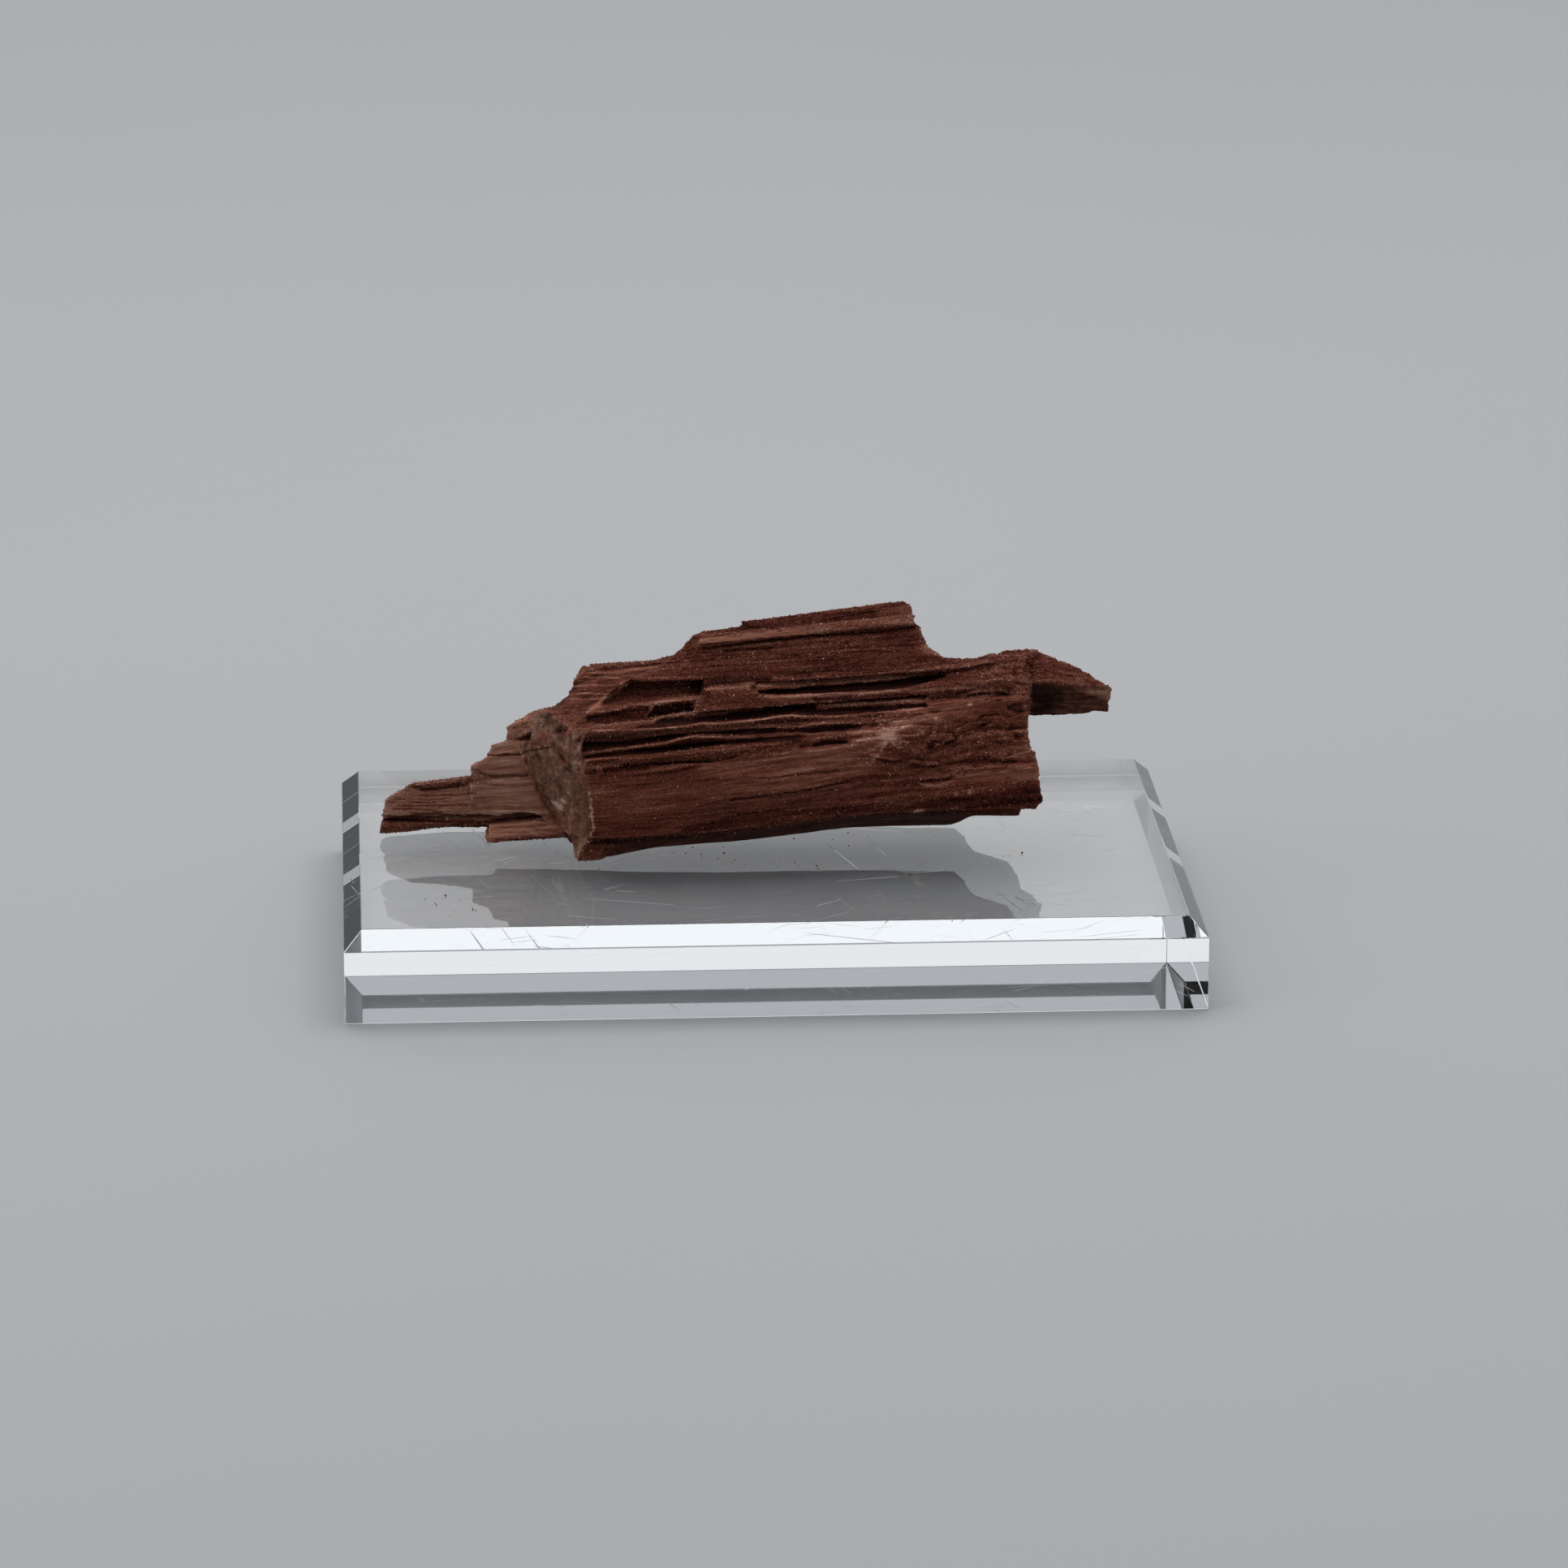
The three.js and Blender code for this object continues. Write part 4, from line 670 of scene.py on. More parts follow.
    Mark(((23.7, 57.5), (24.4, 57.5)), wide=0.5, depth=0.8, tone=-0.9),
    Mark(((-58.1, 32.6), (-56.5, 33.6), (-54.2, 33.8)), wide=1.2, depth=0.8, tone=-0.55, grey=0, grit=1),
    Mark(((-55.2, 21.9), (-53.9, 22.9)), wide=0.9, depth=0.9, tone=-0.8),
    Mark(((-56.6, 27.4), (-54.3, 21.9), (-52.6, 15.5), (-51.7, 9.5), (-53.1, 2.4)), wide=0.5, depth=0.5,
        tone=-0.2),
    Mark(((-66.8, 27.6), (-65.7, 23.5), (-63.5, 18), (-60.8, 11.6), (-56.7, 6)), wide=0.4, depth=0.5,
        tone=-0.3),
    Mark(((-89.1, 9), (-87.3, 9.2), (-85.9, 8.7)), wide=0.5, depth=-0.2, tone=0.9, grit=0.8),
    Mark(((-103.2, 13.9), (-95.4, 13.9), (-86.3, 13.9)), wide=0.18, tone=-0.25),
    Mark(((-102.3, 12.1), (-93.2, 11.8), (-79.5, 11.9)), wide=0.2, depth=0.2, tone=-0.35),
    Mark(((-98.9, 10.1), (-86.4, 9.1), (-77.3, 9)), wide=0.22, depth=0.2, tone=-0.35),
    Mark(((-75.9, 5.2), (-65.9, 5.5), (-54.5, 6.2)), wide=0.22, tone=-0.3),
    Mark(((-75.9, 3.7), (-65.9, 3.8), (-54, 4.6)), wide=0.25, depth=0.2, tone=-0.35),
    Mark(((-59, 12.7), (-57.4, 11.5), (-55.8, 10.1)), wide=0.9, depth=-0.3, tone=1, grey=0.9, grit=0.6),
    Mark(((-56.7, 13.4), (-55.1, 12)), wide=0.5, depth=-0.2, tone=0.9, grey=0.9, grit=0.6),
    # Shoulder
    *alike(
        ((-50.5, 49.2), (-45, 49.2), (-39.1, 48.9)),
        ((-51.9, 47.9), (-46.2, 48.2), (-40.5, 47.8)),
        ((-53.2, 46.7), (-47.3, 47), (-41.2, 46.8)),
        ((-54.4, 45.3), (-47.8, 45.8), (-41.4, 45.7)),
        ((-55.5, 44.2), (-48.5, 44.7), (-42.3, 44.3)),
        ((-56.4, 43), (-49.2, 43.4), (-43.7, 43)),
        ((-56.5, 41.8), (-49.6, 42.1), (-45.5, 41.8)),
        ((-57.8, 40.8), (-51.5, 40.8), (-47.4, 40.5)),
        ((-59.2, 39.6), (-53.1, 39.9), (-48.7, 39.6)),
        wide=0.22, depth=0.12, tone=-0.6,
    ),
    *alike(
        ((-49.6, 49.9), (-43.9, 49.8), (-37.1, 50)),
        ((-51.2, 48.6), (-40, 48.4)),
        ((-53.7, 46), (-47.8, 46.4), (-41.4, 46.2)),
        ((-56, 43.6), (-49.2, 44), (-43.3, 43.6)),
        ((-56.5, 42.4), (-46.2, 42.4)),
        wide=0.24, tone=0.28, tan=0.6,
    ),
    Mark(((-49.1, 51.6), (-49.6, 50.2), (-51.2, 49.6), (-52.8, 47.7), (-54.6, 45.3), (-56.2, 43),
        (-57.1, 41.4)), wide=0.35, depth=-0.1, tone=0.36, tan=0.7),
    Mark(((-39.6, 50.1), (-34.8, 50.8), (-31.4, 51.3), (-28.7, 51.6)), wide=0.5, tone=0.25, tan=0.5),
    Mark(((-45.5, 50.9), (-42.8, 51), (-39.6, 51.3)), wide=0.4, depth=0.6, tone=-0.6),
    Mark(((-32.4, 37), (-31.9, 38.1), (-31, 39.4), (-29.6, 40.4), (-28.3, 40.6)), wide=0.3, depth=-0.3,
        tone=0.3, tan=0.3),
    Mark(((-39.1, 46.7), (-38.5, 47)), wide=0.4, depth=-0.2, tone=0.8, grit=0.8),
    # Knot
    Mark(((36.3, 30.2), (30.2, 29.5), (23.3, 29.2)), wide=0.55, depth=-0.12, tone=0.8, tan=0.5, grit=0.3),
    Mark(((36.3, 30.6), (31.3, 31.9), (24.4, 31.3)), wide=0.5, depth=-0.12, tone=0.6, tan=0.5, grit=0.3),
    Mark(((36.3, 29.9), (33.6, 25.9), (30.6, 21.9)), wide=0.4, depth=-0.12, tone=0.7, tan=0.5, grit=0.3),
    Mark(((36.3, 29.9), (37.9, 27.5), (39.8, 26.5)), wide=0.35, depth=-0.08, tone=0.55, tan=0.5, grit=0.3),
    Mark(((36.3, 30.9), (40.4, 32.9), (46.1, 35)), wide=0.45, depth=-0.12, tone=0.9, tan=0.5, grit=0.3),
    *alike(
        ((36.3, 30.4), (42.7, 30.3), (46.2, 31.7)),
        ((36.3, 30.4), (33.6, 33.5), (32, 34.7)),
        wide=0.3, depth=-0.12, tone=0.6, tan=0.5, grit=0.3,
    ),
    Mark(((36.6, 30.2), (39.3, 28.7), (42.1, 28.4)), wide=0.3, depth=-0.12, tone=0.65, tan=0.5, grit=0.3),
    Mark(((36.1, 29.9), (34.3, 28.1), (27.9, 24.8)), wide=0.35, depth=-0.12, tone=0.6, tan=0.5, grit=0.3),
    Mark(((36.8, 31.1), (38.8, 34.2), (40.7, 35.5)), wide=0.3, depth=-0.12, tone=0.7, tan=0.5, grit=0.3),
    Mark(((35.2, 22.3), (35.5, 18.8), (38.2, 16.3)), wide=0.3, depth=0.15, tone=-0.25),
    *alike(
        ((37, 23.5), (41.6, 24.1), (45.8, 22.2), (47.6, 18.6)),
        ((37, 24.7), (41.6, 23.4), (45.1, 25.7)),
        wide=0.3, depth=0.2, tone=-0.3,
    ),
    Mark(((43.9, 20.5), (49, 20.7)), ((43.9, 18.2), (48.5, 18.3)), tone=-0.2, grey=0.35, grit=0.1, soft=0.6),
    # Crumbly rock right of the knot; the dark tone in its pits is painted shade
    Mark(((63.1, 36.4), (67.9, 36.8), (74.1, 35.7)), ((63.1, 34.5), (67.9, 33.9), (74.1, 33.6)), tone=-0.3,
        tan=0.1, grit=0.5, soft=1),
    Mark(((57.7, 23.4), (63.4, 24.3), (67.3, 23), (71.4, 22)), ((57.7, 20.8), (63.4, 21.2), (67.3, 21.6),
        (71.4, 21.3)), tone=-0.5, grit=0.9, soft=0.7, patchy=0.5),
    Mark(((69.5, 38.6), (71.3, 39.3), (73.3, 39.3)), ((69.7, 37.4), (71.3, 36.5), (73.4, 36.2)), depth=0.7,
        tone=-0.5, grit=0.7, soft=0.4),
    Mark(((55.4, 19.2), (63.4, 20.5), (73.7, 21.2), (79.2, 21.1)), ((55.4, 16.8), (63.4, 16.9), (73.8, 16.5),
        (79.3, 16.1)), tone=0.1, tan=0.35, grit=0.15, soft=0.8),
    Mark(((59, 31.5), (60.6, 32.5), (62.6, 33.1), (64.9, 33.9)), wide=0.5, depth=0.9, tone=-0.8, patchy=0.5),
    Mark(((59.7, 33.6), (61.3, 34.6), (63.1, 35.8), (64.4, 36.1)), wide=0.35, depth=0.6, tone=-0.55,
        patchy=0.5),
    Mark(((51.4, 30.2), (52.6, 31.2), (53.9, 31.1), (54.9, 30), (56.7, 30.7), (59, 31.9), (59.9, 33)),
        wide=0.4, depth=0.8, tone=-0.75, patchy=0.5),
    Mark(((48.7, 28.8), (50.3, 28.2), (52.1, 28), (54, 28.5), (55.1, 29.6)), wide=0.5, depth=0.9, tone=-0.8,
        patchy=0.5),
    Mark(((46.4, 26.7), (47.6, 27.1), (48.7, 27.7)), wide=0.7, depth=0.9, tone=-0.7, patchy=0.5),
    Mark(((69.1, 31.4), (71.3, 32), (73.4, 32.2)), wide=0.7, depth=1, tone=-0.85, patchy=0.5),
    Mark(((71.4, 30.2), (72.7, 29.3), (73.7, 29.9)), wide=0.8, depth=1.2, tone=-0.95, patchy=0.5),
    Mark(((45.9, 29.3), (47.1, 30.2), (48.5, 30.9)), wide=0.35, depth=0.5, tone=-0.55, patchy=0.5),
    Mark(((55.5, 33.9), (56.9, 34.3), (58.5, 34.3)), wide=0.3, depth=0.3, tone=-0.4, patchy=0.8),
    *alike(
        ((68.6, 26.3), (71.9, 26)),
        ((52.6, 26.9), (55.3, 27)),
        wide=0.3, depth=0.35, tone=-0.45, patchy=0.8,
    ),
    *alike(
        ((62.7, 30), (65.4, 29.7)),
        ((65, 24.5), (69.1, 23.9)),
        wide=0.25, depth=0.3, tone=-0.35, patchy=0.8,
    ),
    Mark(((41.6, 35.5), (43.9, 36.4), (46.1, 36.6)), wide=0.3, depth=0.3, tone=-0.4, patchy=0.8),
    Mark(((42, 33.4), (44.8, 34.1), (48.4, 34.2)), wide=0.22, depth=0.2, tone=-0.3, patchy=0.8),
    Mark(((59.8, 40.9), (64.9, 41.1), (69, 40.1)), wide=0.2, depth=0.2, tone=-0.25, patchy=0.8),
    Mark(((46.6, 39.2), (51.8, 38.9), (55.3, 39.6)), wide=0.2, depth=0.2, tone=-0.3, patchy=0.8),
    *alike(
        ((57.5, 13.3), (59.1, 13.5)),
        ((48.4, 35.2), (49.4, 34.7)),
        ((58, 39.1), (59.2, 38.8)),
        ((42.6, 7.9), (45.8, 8.4)),
        ((54.5, 13), (55.4, 13.2)),
        wide=0.5, depth=-0.3, tone=0.85, tan=0.5, grit=0.5,
    ),
    Mark(((57.1, 40.8), (58.7, 41.8), (61, 42.3), (65.8, 41.9)), wide=0.28, depth=0.5, tone=-0.6),
    # Stripes on the upper slope
    *alike(
        ((-20.9, 54.9), (-13.2, 55.5), (-1.8, 55.8), (10.7, 56.6)),
        ((-22.7, 53.6), (-13.2, 54.6), (-1.8, 55), (5, 55.2)),
        ((-8.6, 52.6), (2.7, 53.2), (14.1, 53.5), (23.2, 53.8)),
        ((-15.5, 51.1), (-1.8, 51.8), (14.1, 52.3), (27.8, 53)),
        ((11.9, 57.7), (23.2, 58.3), (34.6, 58.8), (43.7, 59.1)),
        ((16.4, 55.8), (27.8, 56.3), (39.2, 56.6), (48.3, 56.9)),
        ((14.1, 54.4), (25.5, 54.9), (39.2, 55.2)),
        ((23.3, 52.1), (34.7, 52.7), (43.8, 53.2)),
        wide=0.3, depth=0.25, tone=-0.5, grit=0.6, patchy=0.6,
    ),
    *alike(
        ((-21.8, 54.1), (-13.2, 54.9), (-1.8, 55.4)),
        ((-15.4, 56.7), (-8.6, 57), (5, 57.8)),
        ((-10.9, 51.7), (2.7, 52.3), (14.1, 52.7)),
        ((14.1, 58.6), (25.5, 59.2), (36.9, 59.7)),
        ((17.6, 55), (27.8, 55.5), (41.5, 55.9)),
        ((-22.3, 52.7), (-17.3, 53.5), (-8.6, 54.2)),
        wide=0.3, depth=-0.1, tone=0.3, patchy=0.5,
    ),
)


@dataclass
class Skin:
    """Places on the stone with their outward directions and their lie in the front view."""

    points: np.ndarray
    normals: np.ndarray
    view: FrontView

    def __post_init__(self) -> None:
        """Works out what the marks need."""
        self.flat = self.view.flat(self.points)
        self.towards = self.view.towards(self.points)
        facing = np.einsum("ij,ij->i", self.normals, self.towards)
        self.front = smoothstep(-0.05, 0.15, facing) * smoothstep(34, 28, self.points[:, 1])
        self.layer = self.layers()
        self.grain = np.stack([self.points[:, 0], self.layer, self.points[:, 1]], axis=1)

    def layers(self) -> np.ndarray:
        """Height through the wood's growth layers, which follow the ledges.

        Returns:
            One height in millimetres a place.
        """
        heights = [np.interp(self.flat[:, 0], *np.array(line).T) for line in LAYER_LINES]
        level = [np.interp(0.0, *np.array(line).T) for line in LAYER_LINES]
        up = self.flat[:, 1]
        layer = np.where(up >= heights[0], level[0] + up - heights[0], level[-1] + up - heights[-1])
        for number in range(len(heights) - 1):
            top, bottom = heights[number], heights[number + 1]
            share = (up - bottom) / np.maximum(top - bottom, 0.3)
            inside = (up < top) & (up >= bottom)
            layer = np.where(inside, level[number + 1] + share * (level[number] - level[number + 1]), layer)
        return layer


class Ripple(Enum):
    """The stone's layers of noise: pitch in millimetres along each axis, salt and octaves."""

    WANDER_ACROSS = ((5.0, 2.0, 3.0), 1, 1)
    WANDER_UP = ((5.0, 2.0, 3.0), 2, 1)
    JITTER_ACROSS = ((1.4, 0.9, 1.1), 3, 1)
    JITTER_UP = ((1.4, 0.9, 1.1), 4, 1)
    CRUMBLY_EDGE = ((18.0, 9.0, 9.0), 5, 1)
    FADING = ((3.2, 1.6, 2.0), 6, 1)
    RIDGES = ((26.0, 1.8, 2.4), 41, 1)
    FIBRES = ((11.0, 0.8, 1.0), 43, 1)
    PIMPLES = ((1.0, 0.8, 0.9), 45, 1)
    CRACKS = ((60.0, 3.6, 5.0), 53, 1)
    CRACKED_PARTS = ((30.0, 6.0, 9.0), 59, 1)
    CRUMBLY_LUMPS = ((4.2, 1.3, 1.7), 61, 3)
    FACE_LUMPS = ((5.0, 6.0, 7.0), 67, 3)
    FACE_STEPS = ((4.0, 2.2, 9.0), 69, 1)
    FACE_PITS = ((2.6, 2.2, 2.2), 71, 1)
    END_LUMPS = ((3.0, 3.6, 2.2), 73, 3)
    BROAD_STREAKS = ((26.0, 1.5, 3.0), 81, 2)
    BLOTCHES = ((5.0, 3.0, 3.6), 83, 3)
    FINE_STREAKS = ((20.0, 0.75, 1.6), 85, 2)
    GREY_CLOUDS = ((6.0, 5.0, 3.0), 87, 2)
    KNOT_EDGE = ((1.6, 1.6, 1.6), 91, 1)
    FACE_STREAKS = ((6.0, 0.9, 1.4), 93, 2)


class Layers(Enum):
    """The two sets of thin layers: usual thickness in millimetres and salt."""

    BOLD = (3.4, 21)
    FINE = (1.2, 25)


@dataclass(frozen=True)
class GrainField:
    """How the stone's surface stands out and how it is coloured, place by place.

    Heights and depths are millimetres. Tones run from -1 to 1, as a mark's do.
    """

    seed: int = 11
    bold_height: float = 1.8
    fine_height: float = 0.42
    layer_level: float = 0.25
    ridge_height: float = 0.12
    fibre_height: float = 0.14
    pimple_height: float = 0.13
    crack_depth: float = 0.8
    lump_height: float = 0.38
    lump_gaps: float = 0.4
    end_height: float = 0.5
    face_height: float = 0.5
    step_height: float = 0.35
    pit_depth: float = 0.5
    base_tone: float = -0.12
    face_tone: float = 0.06
    underside_painted_shade: float = 0.5
    knot_tone: float = 0.95
    face_span: tuple[float, float] = (-69.0, -42.0)
    knot_place: tuple[float, float] = (36.3, 30.4)
    knot_reach: tuple[float, float] = (4.6, 3.2)

    def noise(self, places: np.ndarray, ripple: Ripple) -> np.ndarray:
        """One of the stone's layers of noise, at places in millimetres."""
        pitch, salt, octaves = ripple.value
        return GradientNoise(self.seed + salt).layered(places / np.array(pitch), octaves)

    def underside(self, skin: Skin) -> np.ndarray:
        """Share of smooth, dull underside, which faces down; the tone darkens it with painted shade."""
        return smoothstep(-0.3, -0.55, skin.normals[:, 2]) * smoothstep(16, 9, skin.points[:, 2])

    def fracture(self, skin: Skin) -> np.ndarray:
        """Share of the broken face at the left, which the layers end at.

        Args:
            skin: The places.

        Returns:
            One share a place.
        """
        x, y, z = skin.points.T
        share = smoothstep(-0.3, -0.55, skin.normals[:, 0]) * within(x, *self.face_span, 1.5)
        return share * smoothstep(12.5, 10, y) * smoothstep(38 + 0.1 * y, 36 + 0.1 * y, z + 0.15 * (x + 52))

    def crumbly(self, skin: Skin) -> np.ndarray:
        """Share of crumbly rock around and right of the knot.

        Args:
            skin: The places.

        Returns:
            One share a place.
        """
        x, z = skin.points[:, 0], skin.points[:, 2]
        wander = 1.5 * self.noise(skin.points, Ripple.CRUMBLY_EDGE)
        share = smoothstep(38, 48, x + wander) * smoothstep(19, 23, z + wander)
        share = share * smoothstep(40, 37, z - 0.05 * (x - 50))
        return np.maximum(share, smoothstep(58, 66, x) * smoothstep(40, 42, z))

    def broken(self, skin: Skin) -> np.ndarray:
        """Share of rough end faces, which lie across the grain."""
        share = smoothstep(0.5, 0.85, np.abs(skin.normals[:, 0]))
        return share * (1 - self.fracture(skin)) * (1 - 0.6 * skin.front)

    def wandering(self, skin: Skin) -> np.ndarray:
        """The front view with a little wander, so that the marks' edges stay ragged.

        Args:
            skin: The places.

        Returns:
            One row of across and up a place.
        """
        across = 0.7 * self.noise(skin.grain, Ripple.WANDER_ACROSS)
        across += 0.2 * self.noise(skin.grain, Ripple.JITTER_ACROSS)
        up = 0.17 * self.noise(skin.grain, Ripple.WANDER_UP)
        up += 0.11 * self.noise(skin.grain, Ripple.JITTER_UP)
        return skin.flat + np.stack([across, up], axis=1)

    def fading(self, skin: Skin) -> np.ndarray:
        """Where patchy marks fade, from 0 to 1."""
        return smoothstep(0.15, -0.25, self.noise(skin.grain, Ripple.FADING))

    def strengths(self, skin: Skin, marks: Sequence[Mark]) -> Iterator[tuple[Mark, np.ndarray, np.ndarray]]:
        """Gives each mark with the numbers of the places that it can reach and its share there.

        Args:
            skin: The places.
            marks: The marks, in order.

        Yields:
            A mark, the numbers of its places and its share at each of them.
        """
        flat, fading = self.wandering(skin), self.fading(skin)
        for mark in marks:
            chosen = mark.near(skin.flat)
            share = mark.share(flat[chosen]) * skin.front[chosen] * (1 - mark.patchy * fading[chosen])
            yield mark, chosen, share

    def marked(self, skin: Skin, name: str, start: np.ndarray) -> np.ndarray:
        """Pulls a quality towards what each mark says, one mark after the other.

        Args:
            skin: The places.
            name: The quality's name.
            start: Its values before any mark.

        Returns:
            The new values.
        """
        values = start.copy()
        telling = [mark for mark in MARKS if name == "tone" or getattr(mark, name) >= 0]
        for mark, chosen, share in self.strengths(skin, telling):
            values[chosen] += share * (getattr(mark, name) - values[chosen])
        return values

    def carving(self, skin: Skin, marks: Sequence[Mark]) -> np.ndarray:
        """How far the marks cut into the stone along the line of sight, in millimetres.

        Args:
            skin: The places.
            marks: The marks, in order.

        Returns:
            One depth a place.
        """
        depth = np.zeros(len(skin.points))
        for mark, chosen, share in self.strengths(skin, marks):
            here = depth[chosen]
            deeper = np.maximum(here, mark.depth * share)
            depth[chosen] = deeper if mark.depth > 0 else here + mark.depth * share
        return depth

    def ledges(self, grain: np.ndarray, layers: Layers) -> np.ndarray:
        """Thin layers that stand out towards their upper edge and are undercut below it.

        Args:
            grain: Places along the grain, across its layers and into the stem.
            layers: Which set of layers.

        Returns:
            One height from 0 to about 1 a place.
        """
        pitch, salt = layers.value
        bend = np.array((40.0, 5.0 * pitch, 6.0 * pitch))
        warp = 0.7 * GradientNoise(self.seed + salt).layered(grain / bend, 2)
        stack = grain[:, 1] / pitch + warp
        layer = np.floor(stack)
        share = stack - layer
        own = np.stack([grain[:, 0] / 20.0, layer * 7.31, np.zeros(len(grain))], axis=1)
        height = smoothstep(-0.3, 0.9, GradientNoise(self.seed + salt + 1).at(own))
        return share**1.5 * smoothstep(1.0, 0.86, share) * height

    def relief(self, skin: Skin) -> np.ndarray:
        """How far each place moves along its outward direction, in millimetres.

        Args:
            skin: The places.

        Returns:
            One height a place.
        """
        points, grain = skin.points, skin.grain
        fracture, crumbly = self.fracture(skin), self.crumbly(skin)
        grit = self.marked(skin, "grit", 1 - 0.9 * np.maximum(fracture, self.underside(skin)))
        sideways = np.hypot(skin.normals[:, 0], skin.normals[:, 1])
        grained = (0.15 + 0.85 * grit) * (1 - fracture) * (1 - 0.6 * crumbly)
        bold = 1.0 - 0.72 * skin.front
        height = self.bold_height * self.ledges(grain, Layers.BOLD) * bold
        height = height + self.fine_height * self.ledges(grain, Layers.FINE) - self.layer_level
        height = height * grained * sideways
        height += self.ridge_height * (1 - 2 * np.abs(self.noise(grain, Ripple.RIDGES))) * grained
        height += self.fibre_height * self.noise(grain, Ripple.FIBRES) * grained
        height += self.pimple_height * self.noise(points, Ripple.PIMPLES) * np.clip(grained + crumbly, 0, 1)
        crack = self.crack_depth * smoothstep(0.05, 0.0, np.abs(self.noise(grain, Ripple.CRACKS)))
        cracked = smoothstep(0.1, 0.4, self.noise(grain, Ripple.CRACKED_PARTS))
        height -= crack * cracked * (1 - fracture) * bold
        lumps = self.noise(grain, Ripple.CRUMBLY_LUMPS)
        height += crumbly * (self.lump_height * lumps - self.lump_gaps * smoothstep(0.3, 0.8, -lumps))
        height += self.broken(skin) * self.end_height * self.noise(points, Ripple.END_LUMPS)
        steps = self.step_height * self.noise(points, Ripple.FACE_STEPS)
        height += fracture * (self.face_height * self.noise(points, Ripple.FACE_LUMPS) + steps)
        pits = smoothstep(0.4, 0.75, self.noise(points, Ripple.FACE_PITS))
        return height - self.pit_depth * fracture * pits

    def qualities(self, skin: Skin, stands: np.ndarray) -> dict[str, np.ndarray]:
        """What the finish reads at each place.

        Args:
            skin: The finished places.
            stands: How far each place stands out of its surroundings, in millimetres; hollows
                get painted shade from it, and raised places a painted highlight.

        Returns:
            Tone, and the shares of tan, grey and grit, by name.
        """
        fracture, underside = self.fracture(skin), self.underside(skin)
        plain = 1 - np.maximum(fracture, underside)
        tone = self.base_tone + 0.24 * self.noise(skin.grain, Ripple.BROAD_STREAKS)
        blotch = self.noise(skin.points, Ripple.BLOTCHES)
        face = self.face_tone + 0.3 * blotch + 0.3 * self.noise(skin.grain, Ripple.FACE_STREAKS)
        # The underside also gets painted shade, because it faces down and away from the light
        tone = tone * plain + fracture * face - self.underside_painted_shade * underside
        tone += 0.12 * self.crumbly(skin) + 0.3 * blotch * self.broken(skin)
        rear = (1 - skin.front) * plain * smoothstep(0.9, 0.6, skin.normals[:, 2])
        fine = 0.6 * self.ledges(skin.grain, Layers.FINE)
        tone += rear * (1.1 * self.ledges(skin.grain, Layers.BOLD) + fine - 0.5)
        tone = self.marked(skin, "tone", tone)
        tone += 0.26 * self.noise(skin.grain, Ripple.FINE_STREAKS)
        # Painted shade in hollows that sink below their surroundings, and a painted highlight on places that
        # stand out
        tone -= 0.4 * smoothstep(0.05, 0.6, -stands) * (1 - 0.5 * fracture)
        tone += 0.2 * smoothstep(0.08, 0.45, stands) * (1 - underside)
        clouds = smoothstep(0.85, 0.1, self.noise(skin.points, Ripple.GREY_CLOUDS))
        grey = fracture * clouds + 0.6 * underside
        away = np.hypot(*((skin.flat - self.knot_place) / self.knot_reach).T)
        knot = smoothstep(1.0, 0.1, away + 0.35 * self.noise(skin.points, Ripple.KNOT_EDGE)) * skin.front
        tan = self.marked(skin, "tan", np.zeros(len(tone)))
        grit = self.marked(skin, "grit", 1 - 0.92 * np.maximum(fracture, underside))
        return {
            "tone": tone + 0.88 * knot * (self.knot_tone - tone),
            "tan": np.maximum(tan, 0.7 * knot),
            "grey": self.marked(skin, "grey", grey),
            "grit": grit * (1 - 0.8 * knot),
        }


# ---------- shader building


@dataclass(frozen=True)
class ColourFamily:
    """Colours of one kind of stone, from its darkest recess to its palest chip."""

    stops: tuple[Colour, ...]


RED_FAMILY = ColourFamily(
    (srgb(31, 9, 6), srgb(83, 34, 24), srgb(124, 67, 50), srgb(160, 106, 88), srgb(212, 168, 150))
)
TAN_FAMILY = ColourFamily(
    (srgb(48, 20, 13), srgb(95, 51, 38), srgb(136, 86, 69), srgb(172, 118, 98), srgb(218, 174, 153))
)
GREY_FAMILY = ColourFamily(
    (srgb(36, 20, 15), srgb(78, 49, 38), srgb(118, 82, 66), srgb(158, 122, 103), srgb(214, 190, 172))
)


